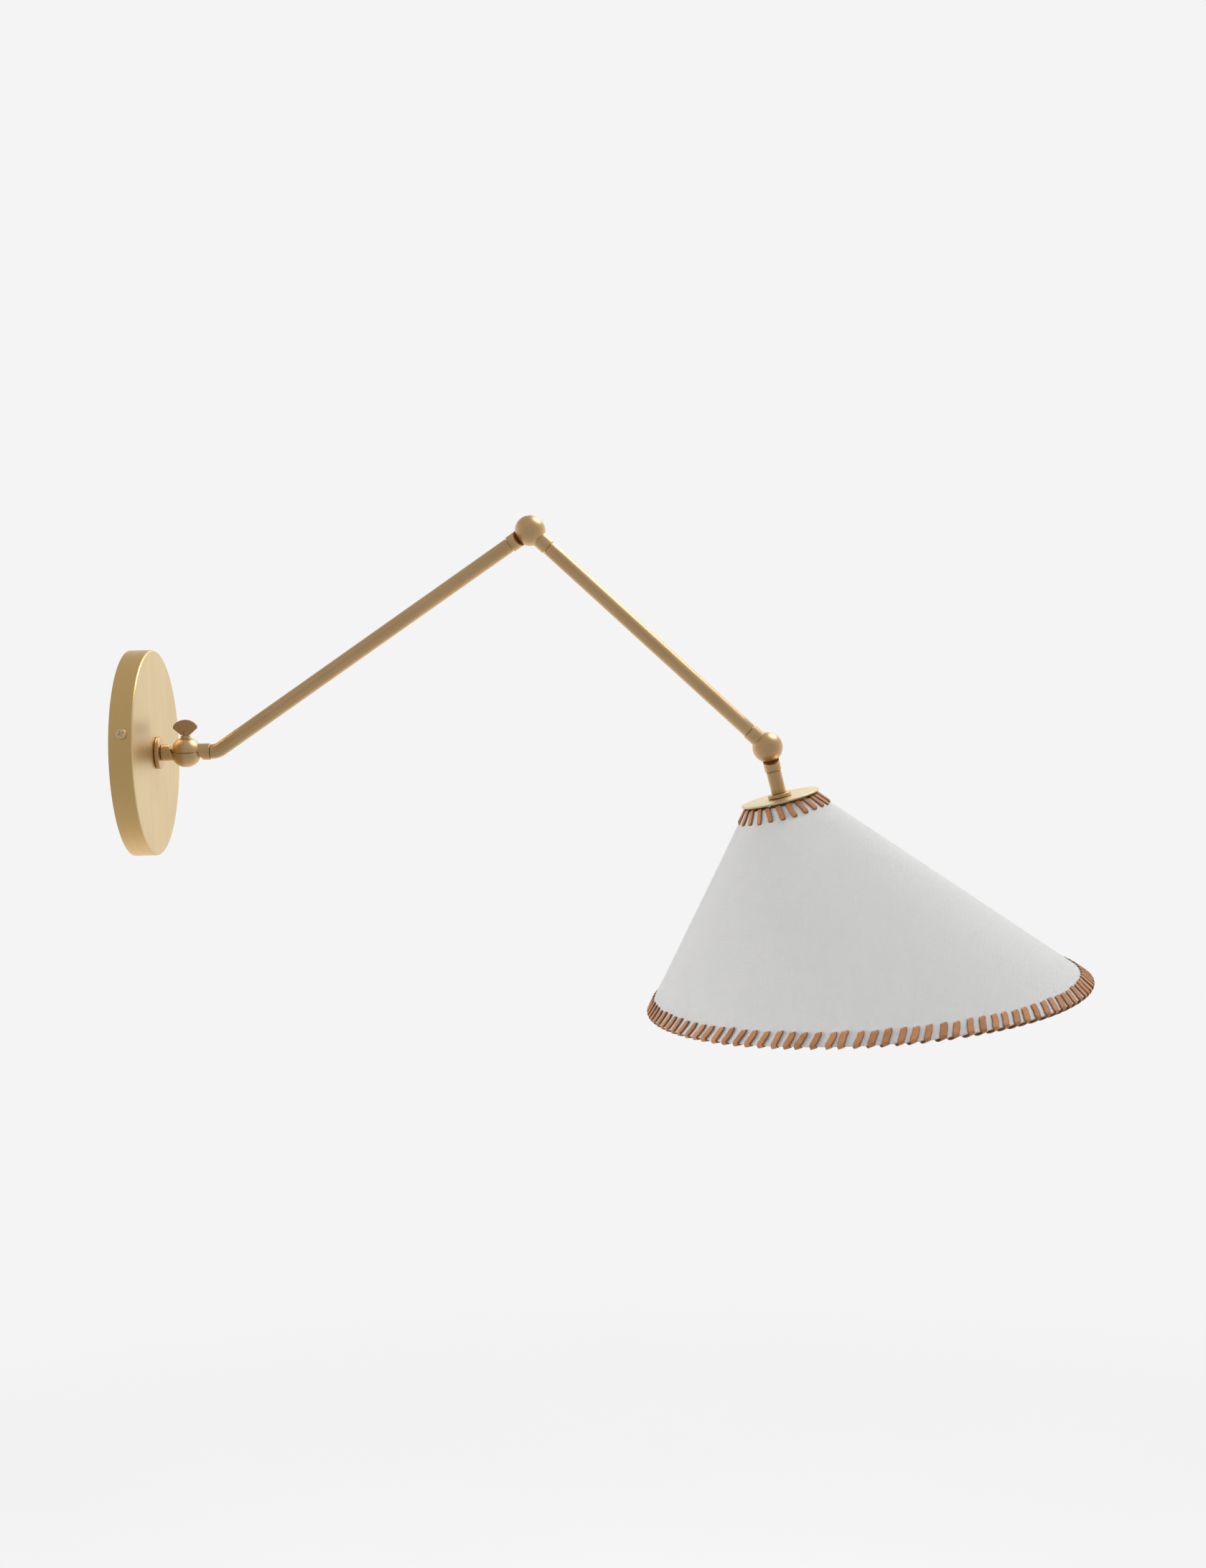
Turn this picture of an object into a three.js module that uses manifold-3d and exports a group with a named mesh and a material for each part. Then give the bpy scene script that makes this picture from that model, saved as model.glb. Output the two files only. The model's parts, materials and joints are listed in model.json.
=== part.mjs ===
// Swing arm wall sconce: wall canopy, two brass arms on ball swivels, laced linen shade.
// Millimetres. Origin at the centre of the canopy's back, on the wall; +X out of the wall, +Z up.
import * as THREE from "three";
import { mergeVertices } from "three/addons/utils/BufferGeometryUtils.js";
import Module from "manifold-3d";

const wasm = await Module();
wasm.setup();
const radians = THREE.MathUtils.degToRad;

// ---- driving dimensions ----------------------------------------------------------------

// clearances
const fit_gap = 0.3;
const seam_gap = 0.5;

// wall canopy and its bracket
const canopy_diameter = 140;
const canopy_depth = 15.6;
const canopy_wall = 1.2;
const canopy_edge_radius = 1.6;
const canopy_screw_angle = 15;
const canopy_screw_from_face = 7;
const canopy_screw_shank = 4.1;
const canopy_screw_head = 6.8;
const canopy_screw_head_depth = 1.6;
const canopy_screw_past_ear = 1.5;
const strap_width = 20;
const strap_thickness = 2;
const strap_bend_radius = 3.5;
const strap_ear_from_face = 1.4;
const box_slot_spacing = 88.9;
const box_slot_length = 12;
const box_slot_width = 4.8;
const ground_screw_offset = 22;
const ground_screw_shank = 3.6;
const ground_screw_head = 8;
const ground_screw_head_depth = 2.2;

// threaded nipples, nuts and washers
const nipple_diameter = 7.8;
const nipple_bore = 5;
const nipple_behind_nut = 2.5;
const nipple_end_gap = 0.8;
const nut_across_flats = 12;
const nut_thickness = 3;
const lock_washer_diameter = 12.5;
const lock_washer_thickness = 1;
const lock_washer_split = 0.8;
const collar_diameter = 22;
const collar_thickness = 2.8;

// ball swivels
const ball_diameter = 20.6;
const ball_cavity_diameter = 16;
const ball_cavity_depth = 3.2;
const ball_post_diameter = 7;
const knuckle_diameter = 11.2;
const knuckle_length = 6.3;
const knuckle_chamfer = 0.5;
const knuckle_relief_slope = 0.52;
const spigot_length = 6;
const bend_spigot_length = 2.4;
const pivot_shank = 3.8;
const pivot_reach = 6.2;
const pivot_head = 7;
const pivot_head_depth = 2.2;
const pivot_pocket_floor = 5.2;
const spring_washer_diameter = 6.4;
const spring_washer_thickness = 0.8;
const friction_washer_diameter = 7;
const friction_washer_thickness = 1;
const driver_slot_width = 1;
const driver_slot_depth = 1;

// thumb screw on the base swivel
const thumb_boss_diameter = 6.8;
const thumb_boss_height = 1.1;
const thumb_wing_width = 16.5;
const thumb_wing_foot = 6.1;
const thumb_wing_shoulder = 4.6;
const thumb_wing_height = 10.4;
const thumb_wing_thickness = 2.4;

// arms
const tube_diameter = 10;
const tube_wall = 0.8;
const bend_radius = 12;
const straight_before_bend = 0.4;
const lower_arm_rise = 33.6;
const lower_arm_length = 261;
const upper_arm_fall = 43.6;
const upper_arm_length = 217.5;
const wire_diameter = 3.6;

// head: stem, collar, cap and lamp holder
const stem_lean = 13;
const stem_length = 15;
const stem_collar_diameter = 16;
const stem_collar_thickness = 2.4;
const cap_diameter = 54;
const cap_thickness = 1.2;
const spider_hub_diameter = 18;
const spider_hub_thickness = 1.2;
const spider_wire = 2;
const socket_cap_height = 14;
const socket_cap_wall = 0.8;
const socket_diameter = 34;
const socket_length = 34;
const socket_floor = 3;
const screw_shell_wall = 0.5;
const screw_shell_length = 24;
const contact_diameter = 7;
const contact_thickness = 1.4;
const bulb_base_diameter = 26;
const bulb_base_wall = 0.6;
const bulb_base_length = 24;
const bulb_tip_diameter = 9;
const bulb_tip_height = 3;
const bulb_thread_depth = 0.7;
const bulb_thread_pitch = 3.6;
const bulb_diameter = 60;
const bulb_glass_length = 84;
const bulb_glass_wall = 0.8;
const bulb_neck_in_base = 5;

// shade: a linen cone whose rim circle is set aside from the stem and tilted
const shade_top_radius = 25;
const shade_rim_radius = 151;
const shade_rim_drop = 181;
const shade_rim_offset = 26;
const shade_rim_tilt = 9;
const linen_thickness = 1;
const liner_thickness = 0.4;
const ring_wire = 2.4;
const ring_from_edge = 2.4;
const lace_thickness = 1;
const lace_length_top = 11;
const lace_length_rim = 10;

// leads and wire connectors inside the canopy
const lead_diameter = 1.8;
const connector_length = 15;
const connector_mouth = 8.4;
const connector_tip = 5;
const connector_height = 12;

// facets
const ball_sides = 20;
const tube_sides = 16;
const small_sides = 12;
const wire_sides = 6;
const canopy_sides = 48;
const shade_sides = 48;
const bend_steps = 5;
const ball_arc_steps = 5;
const globe_arc_steps = 6;
const lead_steps = 8;

// ---- materials -------------------------------------------------------------------------

function finish(color, roughness, metalness) {
  return new THREE.MeshStandardMaterial({ color, roughness, metalness });
}

const brushed_brass = () => finish(0xb9975c, 0.36, 1);
const pale_brass = () => finish(0xd9c795, 0.4, 1);
const zinc_steel = () => finish(0xa9adb0, 0.45, 1);
const green_steel = () => finish(0x2f7a45, 0.5, 0.8);
const fibre = () => finish(0x6b2d22, 0.8, 0);
const linen = () => finish(0xf1efe9, 0.9, 0);
const styrene = () => finish(0xf7f5ef, 0.6, 0);
const leather = () => finish(0xb07a50, 0.65, 0);
const phenolic = () => finish(0x1b1a19, 0.45, 0);
const aluminium = () => finish(0xc9cbcd, 0.35, 1);
const frosted_glass = () => finish(0xf4f3ee, 0.25, 0);
const wire_jacket = () => finish(0xe9e5da, 0.55, 0);
const black_jacket = () => finish(0x191919, 0.5, 0);
const white_jacket = () => finish(0xefefef, 0.5, 0);
const green_jacket = () => finish(0x2c8a3f, 0.5, 0);
const connector_plastic = () => finish(0xd9772b, 0.5, 0);

// ---- geometry helpers ------------------------------------------------------------------

// A closed three.js geometry as a solid that can be joined and cut.
function solidOf(geometry) {
  const bare = geometry.clone();
  bare.deleteAttribute("normal");
  bare.deleteAttribute("uv");
  const merged = mergeVertices(bare, 1e-4);
  const corners = merged.index.array;
  const kept = [];
  for (let i = 0; i < corners.length; i += 3) {
    const [a, b, c] = [corners[i], corners[i + 1], corners[i + 2]];
    if (a !== b && b !== c && c !== a) kept.push(a, b, c);
  }
  const vertProperties = new Float32Array(merged.attributes.position.array);
  const triVerts = new Uint32Array(kept);
  return new wasm.Manifold(new wasm.Mesh({ numProp: 3, vertProperties, triVerts }));
}

// The solid back as a three.js geometry.
function geometryOf(solid) {
  const mesh = solid.getMesh();
  const geometry = new THREE.BufferGeometry();
  geometry.setAttribute("position", new THREE.BufferAttribute(mesh.vertProperties, 3));
  geometry.setIndex(new THREE.BufferAttribute(mesh.triVerts, 1));
  return geometry;
}

function piece(name, shape, material) {
  const geometry = shape.isBufferGeometry ? shape : geometryOf(shape);
  const mesh = new THREE.Mesh(geometry, material);
  mesh.name = name;
  return mesh;
}

// Body of revolution about Z. The outline is [radius, height] pairs, counter-clockwise.
function turned(outline, sides) {
  const points = outline.map(([radius, height]) => new THREE.Vector2(radius, height));
  return new THREE.LatheGeometry(points, sides).rotateX(Math.PI / 2);
}

// The same about X, with the height running along +X.
function turnedAlongX(outline, sides) {
  return turned(outline, sides).rotateY(Math.PI / 2);
}

// Outline of a plain ring or tube, closed on itself.
function ringOutline(inner, outer, low, high) {
  return [[inner, low], [outer, low], [outer, high], [inner, high], [inner, low]];
}

// Outline of a plain rod.
function rodOutline(radius, low, high) {
  return [[0, low], [radius, low], [radius, high], [0, high]];
}

function block(size, centre) {
  return new THREE.BoxGeometry(...size).translate(...centre);
}

// Points of an arc in an outline, both ends included, angles in degrees.
function arc(centreRadius, centreHeight, radius, from, to, steps) {
  const points = [];
  for (let i = 0; i <= steps; i += 1) {
    const angle = radians(from + ((to - from) * i) / steps);
    points.push([centreRadius + radius * Math.cos(angle), centreHeight + radius * Math.sin(angle)]);
  }
  return points;
}

// Turns a piece so that its own +Z lies on `axis` and its own +X on `toward`.
function aim(object, axis, toward) {
  const side = new THREE.Vector3().crossVectors(axis, toward);
  object.quaternion.setFromRotationMatrix(new THREE.Matrix4().makeBasis(toward, side, axis));
  return object;
}

function circle(radius, sides) {
  const shape = new THREE.Shape();
  for (let i = 0; i < sides; i += 1) {
    const angle = (2 * Math.PI * i) / sides;
    const [x, y] = [radius * Math.cos(angle), radius * Math.sin(angle)];
    if (i) shape.lineTo(x, y);
    else shape.moveTo(x, y);
  }
  shape.closePath();
  return shape;
}

// Straight, one bend, straight: in the XZ plane, with a station at each end of every stretch.
class BentPath extends THREE.Curve {
  constructor(start, bendCentre, finishAt, rise) {
    super();
    this.start = start;
    this.bendCentre = bendCentre;
    this.finishAt = finishAt;
    this.rise = rise;
    this.steps = bend_steps + 2;
  }

  angleAt(t) {
    const along = (t * this.steps - 1) / bend_steps;
    return this.rise * Math.min(Math.max(along, 0), 1);
  }

  getPoint(t) {
    if (t * this.steps < 0.5) return this.start.clone();
    if (t * this.steps > this.steps - 0.5) return this.finishAt.clone();
    const angle = this.angleAt(t);
    const out = new THREE.Vector3(Math.sin(angle), 0, -Math.cos(angle));
    return this.bendCentre.clone().addScaledVector(out, bend_radius);
  }

  getPointAt(t) {
    return this.getPoint(t);
  }

  getTangentAt(t) {
    const angle = this.angleAt(t);
    return new THREE.Vector3(Math.cos(angle), 0, Math.sin(angle));
  }
}

// ---- shared derived sizes --------------------------------------------------------------

const ball_radius = ball_diameter / 2;
const knuckle_radius = knuckle_diameter / 2;
const tube_bore = tube_diameter - 2 * tube_wall;
const knuckle_reach = ball_radius + knuckle_length;
const tube_start = knuckle_reach + seam_gap;
const spigot_diameter = tube_bore - 2 * fit_gap;
const nipple_hole_radius = nipple_diameter / 2 + fit_gap;
const stem_nipple_diameter = tube_bore - 2 * fit_gap;
const stem_hole_radius = stem_nipple_diameter / 2 + fit_gap;
const pivot_hole_radius = pivot_shank / 2 + fit_gap;
const wire_start = ball_radius + fit_gap;

// ---- ball swivel -----------------------------------------------------------------------

// One half of a hollow ball with its knuckle. The pivot is Z, this half is above the middle
// plane, and the knuckle points along +X.
function swivelHalf({ pole, tail, spigotLength = 0 }) {
  const middle = fit_gap / 2;
  const post_top = friction_washer_thickness / 2 + fit_gap;
  const arc_from = THREE.MathUtils.radToDeg(Math.asin(middle / ball_radius));
  const inside = [
    [pivot_hole_radius, post_top],
    [ball_post_diameter / 2, post_top],
    [ball_post_diameter / 2, ball_cavity_depth],
    [ball_cavity_diameter / 2, ball_cavity_depth],
    [ball_cavity_diameter / 2, middle],
  ];
  const poleAngle = (radius) => THREE.MathUtils.radToDeg(Math.acos(radius / ball_radius));
  const outlines = {
    blind: () => {
      const floor = pivot_reach + fit_gap;
      const dome = arc(0, 0, ball_radius, arc_from, 90, ball_arc_steps);
      dome[dome.length - 1][0] = 0;
      return [[0, floor], [pivot_hole_radius, floor], ...inside, ...dome];
    },
    pocket: () => {
      const radius = pivot_head / 2 + fit_gap;
      const dome = arc(0, 0, ball_radius, arc_from, poleAngle(radius), ball_arc_steps);
      const pocket = [[radius, pivot_pocket_floor], [pivot_hole_radius, pivot_pocket_floor]];
      return [...inside, ...dome, ...pocket, inside[0]];
    },
    boss: () => {
      const radius = thumb_boss_diameter / 2;
      const dome = arc(0, 0, ball_radius, arc_from, poleAngle(radius), ball_arc_steps);
      const top = ball_radius + thumb_boss_height;
      return [...inside, ...dome, [radius - 0.4, top], [pivot_hole_radius, top], inside[0]];
    },
  };
  const ball = solidOf(turned(outlines[pole](), ball_sides));

  const knuckle_root = ball_cavity_diameter / 2 + fit_gap;
  const knuckle = solidOf(turnedAlongX([
    [0, knuckle_root],
    [knuckle_radius, knuckle_root],
    [knuckle_radius, knuckle_reach - knuckle_chamfer],
    [knuckle_radius - knuckle_chamfer, knuckle_reach],
    [0, knuckle_reach],
  ], tube_sides));
  const below = solidOf(block([60, 60, 40], [0, 0, middle - 20]));
  const clearBall = new THREE.SphereGeometry(ball_radius + fit_gap, ball_sides, ball_arc_steps * 2);
  const otherBall = solidOf(clearBall).intersect(below);
  const relief_start = Math.sqrt(ball_radius ** 2 - knuckle_radius ** 2) + fit_gap;
  const relief = new THREE.Shape();
  relief.moveTo(0, middle);
  relief.lineTo(relief_start, middle);
  relief.lineTo(relief_start + knuckle_relief_slope * knuckle_diameter, -knuckle_diameter);
  relief.lineTo(0, -knuckle_diameter);
  relief.closePath();
  const reliefWedge = new THREE.ExtrudeGeometry(relief, { depth: knuckle_diameter * 2, bevelEnabled: false })
    .rotateX(Math.PI / 2)
    .translate(0, knuckle_diameter, 0);
  const trimmed = knuckle.subtract(otherBall).subtract(solidOf(reliefWedge));

  const spigot = rodOutline(spigot_diameter / 2, knuckle_reach - 1, knuckle_reach + spigotLength);
  const nippleHole = rodOutline(
    nipple_hole_radius, ball_radius + nipple_end_gap - fit_gap, knuckle_reach + 1);
  const passage = rodOutline(
    nipple_bore / 2, ball_cavity_diameter / 2 - 1, knuckle_reach + spigotLength + 1);
  const tails = {
    spigot: (body) => body.add(solidOf(turnedAlongX(spigot, tube_sides))),
    nipple_thread: (body) => body.subtract(solidOf(turnedAlongX(nippleHole, tube_sides))),
  };
  return tails[tail](ball.add(trimmed)).subtract(solidOf(turnedAlongX(passage, small_sides)));
}

function washer(inner, outer, thickness, low) {
  return turned(ringOutline(inner, outer, low, low + thickness), small_sides);
}

// Slotted pivot screw along Z: the head sits in the pocket of one half, the shank ends in the other.
function pivotScrew() {
  const head_low = pivot_pocket_floor + spring_washer_thickness + 2 * fit_gap;
  const head_high = head_low + pivot_head_depth;
  const body = solidOf(turned([
    [0, -pivot_reach],
    [pivot_shank / 2, -pivot_reach],
    [pivot_shank / 2, head_low],
    [pivot_head / 2, head_low],
    [pivot_head / 2, head_high - 0.5],
    [pivot_head / 2 - 0.6, head_high],
    [0, head_high],
  ], small_sides));
  const slot = block([pivot_head * 2, driver_slot_width, driver_slot_depth * 2], [0, 0, head_high]);
  return body.subtract(solidOf(slot));
}

function springWasher() {
  const low = pivot_pocket_floor + fit_gap;
  return washer(pivot_hole_radius, spring_washer_diameter / 2, spring_washer_thickness, low);
}

function frictionWasher() {
  const low = -friction_washer_thickness / 2;
  return washer(pivot_hole_radius, friction_washer_diameter / 2, friction_washer_thickness, low);
}

// ---- small hardware --------------------------------------------------------------------

function crossRecess(atHeight, width) {
  const depth = driver_slot_depth * 2;
  const one = solidOf(block([width, driver_slot_width, depth], [0, 0, atHeight]));
  return one.add(solidOf(block([driver_slot_width, width, depth], [0, 0, atHeight])));
}

// Pan-head screw along +Z: the underside of the head is at height 0.
function panScrew(shank, length, head, headDepth) {
  const body = solidOf(turned([
    [0, -length],
    [shank / 2, -length],
    [shank / 2, 0],
    [head / 2, 0],
    [head / 2, headDepth * 0.45],
    [head * 0.4, headDepth * 0.85],
    [head * 0.22, headDepth],
    [0, headDepth],
  ], small_sides));
  return body.subtract(crossRecess(headDepth, head * 0.55));
}

function hexNut(bore, low) {
  const outer = turned(rodOutline(nut_across_flats / 2 / Math.cos(Math.PI / 6), low, low + nut_thickness), 6);
  const hole = turned(rodOutline(bore, low - 1, low + nut_thickness + 1), small_sides);
  return solidOf(outer).subtract(solidOf(hole));
}

// Nipple along +Z.
function nipple(diameter, low, high) {
  return turned(ringOutline(nipple_bore / 2, diameter / 2, low, high), tube_sides);
}

// ---- wall side -------------------------------------------------------------------------

const canopy_radius = canopy_diameter / 2;
const canopy_inner_radius = canopy_radius - canopy_wall;
const canopy_inner_face = canopy_depth - canopy_wall;
const collar_low = canopy_depth + fit_gap;
const collar_high = collar_low + collar_thickness;
const base_ball_x = collar_high + fit_gap + knuckle_reach;
const canopy_screw_height = canopy_depth - canopy_screw_from_face;
const strap_ear_height = canopy_inner_face - strap_ear_from_face;
const screw_tilt = radians(canopy_screw_angle);
const screw_line = new THREE.Vector3(0, -Math.cos(screw_tilt), Math.sin(screw_tilt));
const outward = new THREE.Vector3(1, 0, 0);

function canopyCover() {
  const edge = arc(
    canopy_radius - canopy_edge_radius, canopy_depth - canopy_edge_radius, canopy_edge_radius, 0, 90, 4);
  const cover = solidOf(turnedAlongX([
    [canopy_inner_radius, 0],
    [canopy_radius, 0],
    ...edge,
    [nipple_hole_radius, canopy_depth],
    [nipple_hole_radius, canopy_inner_face],
    [canopy_inner_radius, canopy_inner_face],
    [canopy_inner_radius, 0],
  ], canopy_sides));
  return cover.subtract(sideHoles());
}

// The radial holes for the two canopy screws, right through cover and bracket ears.
function sideHoles() {
  const through = rodOutline(canopy_screw_shank / 2 + fit_gap, -canopy_diameter, canopy_diameter);
  const drill = turned(through, small_sides);
  const turn = new THREE.Quaternion().setFromUnitVectors(new THREE.Vector3(0, 0, 1), screw_line);
  return solidOf(drill.applyQuaternion(turn).translate(canopy_screw_height, 0, 0));
}

const ear_reach = Math.sqrt((canopy_inner_radius - fit_gap * 2) ** 2 - (strap_width / 2) ** 2);

// U-shaped strap: its own X runs along the strap, Y out of the wall, Z across.
function bracket() {
  const half = ear_reach;
  const outer = strap_bend_radius;
  const inner = strap_bend_radius - strap_thickness;
  const outline = new THREE.Shape();
  outline.moveTo(-half, strap_ear_height);
  outline.lineTo(-half, outer);
  outline.absarc(-half + outer, outer, outer, Math.PI, 1.5 * Math.PI, false);
  outline.absarc(half - outer, outer, outer, 1.5 * Math.PI, 2 * Math.PI, false);
  outline.lineTo(half, strap_ear_height);
  outline.lineTo(half - strap_thickness, strap_ear_height);
  outline.absarc(half - outer, outer, inner, 0, 1.5 * Math.PI, true);
  outline.absarc(-half + outer, outer, inner, 1.5 * Math.PI, Math.PI, true);
  outline.lineTo(-half + strap_thickness, strap_ear_height);
  outline.closePath();
  const depth = strap_width;
  const strap = new THREE.ExtrudeGeometry(outline, { depth, bevelEnabled: false, curveSegments: 4 })
    .translate(0, 0, -strap_width / 2);
  let body = solidOf(strap);
  for (const side of [-1, 1]) {
    body = body.subtract(boxScrewSlot(side * (box_slot_spacing / 2)));
  }
  const through = rodOutline(ground_screw_shank / 2 + fit_gap, -5, 5);
  const groundHole = turned(through, small_sides).rotateX(-Math.PI / 2);
  return body.subtract(solidOf(groundHole.translate(ground_screw_offset, 0, 0)));
}

function boxScrewSlot(at) {
  const straight = box_slot_length - box_slot_width;
  const end = () => turned(rodOutline(box_slot_width / 2, -5, 5), small_sides).rotateX(-Math.PI / 2);
  const middle = solidOf(block([straight, 10, box_slot_width], [at, 0, 0]));
  const left = solidOf(end().translate(at - straight / 2, 0, 0));
  const right = solidOf(end().translate(at + straight / 2, 0, 0));
  return middle.add(left).add(right);
}

function placedOnStrap(object, along, height, across) {
  const crossways = new THREE.Vector3().crossVectors(screw_line, outward);
  object.position.set(0, 0, 0)
    .addScaledVector(screw_line, along)
    .addScaledVector(outward, height)
    .addScaledVector(crossways, across);
  return object;
}

function lead(name, points, material) {
  const route = new THREE.CatmullRomCurve3(points);
  const settings = { steps: lead_steps, extrudePath: route, bevelEnabled: false };
  return piece(name, new THREE.ExtrudeGeometry(circle(lead_diameter / 2, wire_sides), settings), material);
}

// Cone-shaped connector: its mouth at 0, closed end along +Z.
function wireConnector() {
  const wall = 1.2;
  const shoulder = connector_length * 0.25;
  return turned([
    [0, connector_length - wall],
    [connector_tip / 2 - wall, connector_length - wall],
    [connector_mouth / 2 - wall, shoulder],
    [connector_mouth / 2 - wall, 0],
    [connector_mouth / 2, 0],
    [connector_mouth / 2, shoulder],
    [connector_tip / 2, connector_length - 1],
    [connector_tip / 2 - 1, connector_length],
    [0, connector_length],
  ], small_sides);
}

function wallSide() {
  const group = new THREE.Group();
  const strap = piece("wall_bracket", bracket(), zinc_steel());
  const crossways = new THREE.Vector3().crossVectors(screw_line, outward);
  strap.quaternion.setFromRotationMatrix(new THREE.Matrix4().makeBasis(screw_line, outward, crossways));
  strap.geometry = geometryOf(
    solidOf(strap.geometry.applyQuaternion(strap.quaternion)).subtract(sideHoles()),
  );
  strap.quaternion.identity();
  group.add(strap);

  const groundScrew = panScrew(
    ground_screw_shank, strap_thickness, ground_screw_head, ground_screw_head_depth);
  const ground = aim(piece("ground_screw", groundScrew, green_steel()), outward, screw_line);
  group.add(placedOnStrap(ground, ground_screw_offset, strap_thickness + fit_gap, 0));

  group.add(piece("canopy", canopyCover(), pale_brass()));
  const screw_length = canopy_radius + fit_gap - (ear_reach - strap_thickness - canopy_screw_past_ear);
  for (const [name, side] of [["canopy_screw_near", 1], ["canopy_screw_far", -1]]) {
    const shape = panScrew(canopy_screw_shank, screw_length, canopy_screw_head, canopy_screw_head_depth);
    const away = screw_line.clone().multiplyScalar(side);
    const screw = aim(piece(name, shape, brushed_brass()), away, outward);
    screw.position.copy(away).multiplyScalar(canopy_radius + fit_gap);
    screw.position.x = canopy_screw_height;
    group.add(screw);
  }

  const washer_low = canopy_inner_face - fit_gap - lock_washer_thickness;
  const nut_low = washer_low - fit_gap - nut_thickness;
  const upright = new THREE.Vector3(0, 0, 1);
  const ring = ringOutline(
    nipple_hole_radius, lock_washer_diameter / 2, washer_low, washer_low + lock_washer_thickness);
  const split = block(
    [lock_washer_diameter, lock_washer_split, canopy_depth * 2], [lock_washer_diameter / 2, 0, 0]);
  const lockWasher = solidOf(turned(ring, small_sides)).subtract(solidOf(split));
  group.add(aim(piece("canopy_lock_washer", lockWasher, zinc_steel()), outward, upright));
  group.add(aim(piece("canopy_nut", hexNut(nipple_hole_radius, nut_low), zinc_steel()), outward, upright));
  const nipple_end = base_ball_x - ball_radius - nipple_end_gap;
  const canopyNipple = nipple(nipple_diameter, nut_low - nipple_behind_nut, nipple_end);
  group.add(aim(piece("canopy_nipple", canopyNipple, zinc_steel()), outward, upright));

  const collar = turned([
    [nipple_hole_radius, collar_low],
    [collar_diameter / 2, collar_low],
    [collar_diameter / 2, collar_high - 0.6],
    [collar_diameter / 2 - 0.6, collar_high],
    [nipple_hole_radius, collar_high],
    [nipple_hole_radius, collar_low],
  ], canopy_sides / 2);
  group.add(aim(piece("canopy_collar", collar, brushed_brass()), outward, upright));

  const lowerHalf = swivelHalf({ pole: "blind", tail: "nipple_thread" });
  const lower = piece("base_swivel_lower", lowerHalf, brushed_brass());
  aim(lower, new THREE.Vector3(0, 0, -1), new THREE.Vector3(-1, 0, 0));
  lower.position.x = base_ball_x;
  group.add(lower);
  const baseWasher = piece("base_friction_washer", frictionWasher(), fibre());
  baseWasher.position.x = base_ball_x;
  group.add(baseWasher);

  group.add(...canopyLeads(nut_low - nipple_behind_nut));
  return group;
}

// Lamp leads leave the nipple's back end and run up to their connectors beside the strap.
function canopyLeads(nippleEnd) {
  const pieces = [];
  const lead_x = nippleEnd - fit_gap - lead_diameter / 2;
  const connector_x = canopy_inner_face / 2;
  const connector_z = strap_width / 2 + connector_mouth + connector_height;
  const pairs = [["live", -16, black_jacket()], ["neutral", 12, white_jacket()]];
  for (const [name, side, jacket] of pairs) {
    const reach = Math.sign(side) * lead_diameter * 0.75;
    const points = [
      new THREE.Vector3(lead_x, reach, 0),
      new THREE.Vector3(lead_x, reach + side * 0.15, connector_z * 0.3),
      new THREE.Vector3(connector_x, side * 0.7, connector_z * 0.7),
      new THREE.Vector3(connector_x, side, connector_z - fit_gap),
    ];
    pieces.push(lead("lead_" + name, points, jacket));
    const connector = piece("wire_connector_" + name, wireConnector(), connector_plastic());
    connector.position.set(connector_x, side, connector_z);
    pieces.push(connector);
  }
  const ground_reach = ground_screw_offset - ground_screw_head / 2 - lead_diameter;
  const ground_end = screw_line.clone().multiplyScalar(ground_reach);
  const groundPoints = [
    new THREE.Vector3(lead_x, 0, -lead_diameter * 1.5),
    new THREE.Vector3(lead_x, ground_end.y * 0.5, ground_end.z * 0.5 - lead_diameter * 3),
    new THREE.Vector3(strap_thickness + fit_gap + lead_diameter, ground_end.y, ground_end.z),
  ];
  pieces.push(lead("lead_ground", groundPoints, green_jacket()));
  return pieces;
}

// ---- thumb screw -----------------------------------------------------------------------

function thumbScrew() {
  const foot = ball_radius + thumb_boss_height + fit_gap;
  const half_foot = thumb_wing_foot / 2;
  const half_wing = thumb_wing_width / 2;
  const wing = new THREE.Shape();
  wing.moveTo(-half_foot, 0);
  wing.lineTo(half_foot, 0);
  wing.lineTo(half_wing, thumb_wing_shoulder);
  wing.quadraticCurveTo(half_wing, thumb_wing_shoulder + 1.6, half_wing * 0.78, thumb_wing_height * 0.8);
  wing.quadraticCurveTo(half_wing * 0.42, thumb_wing_height, 0, thumb_wing_height);
  wing.quadraticCurveTo(-half_wing * 0.42, thumb_wing_height, -half_wing * 0.78, thumb_wing_height * 0.8);
  wing.quadraticCurveTo(-half_wing, thumb_wing_shoulder + 1.6, -half_wing, thumb_wing_shoulder);
  wing.closePath();
  const depth = thumb_wing_thickness;
  const plate = new THREE.ExtrudeGeometry(wing, { depth, bevelEnabled: false, curveSegments: 5 })
    .rotateX(Math.PI / 2)
    .translate(0, thumb_wing_thickness / 2, foot);
  const shank = turned(rodOutline(pivot_shank / 2, -pivot_reach, foot + thumb_wing_shoulder / 2), small_sides);
  const screw = piece("thumb_screw", solidOf(plate).add(solidOf(shank)), brushed_brass());
  screw.position.x = base_ball_x;
  return screw;
}

// ---- lower arm -------------------------------------------------------------------------

const rise = radians(lower_arm_rise);
const bend_tangent = bend_radius * Math.tan(rise / 2);
const bend_corner = tube_start + straight_before_bend + bend_tangent;
const lower_direction = new THREE.Vector3(Math.cos(rise), 0, Math.sin(rise));
const bend_point = new THREE.Vector3(bend_corner, 0, 0);
const elbow_point = bend_point.clone().addScaledVector(lower_direction, lower_arm_length);

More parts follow.
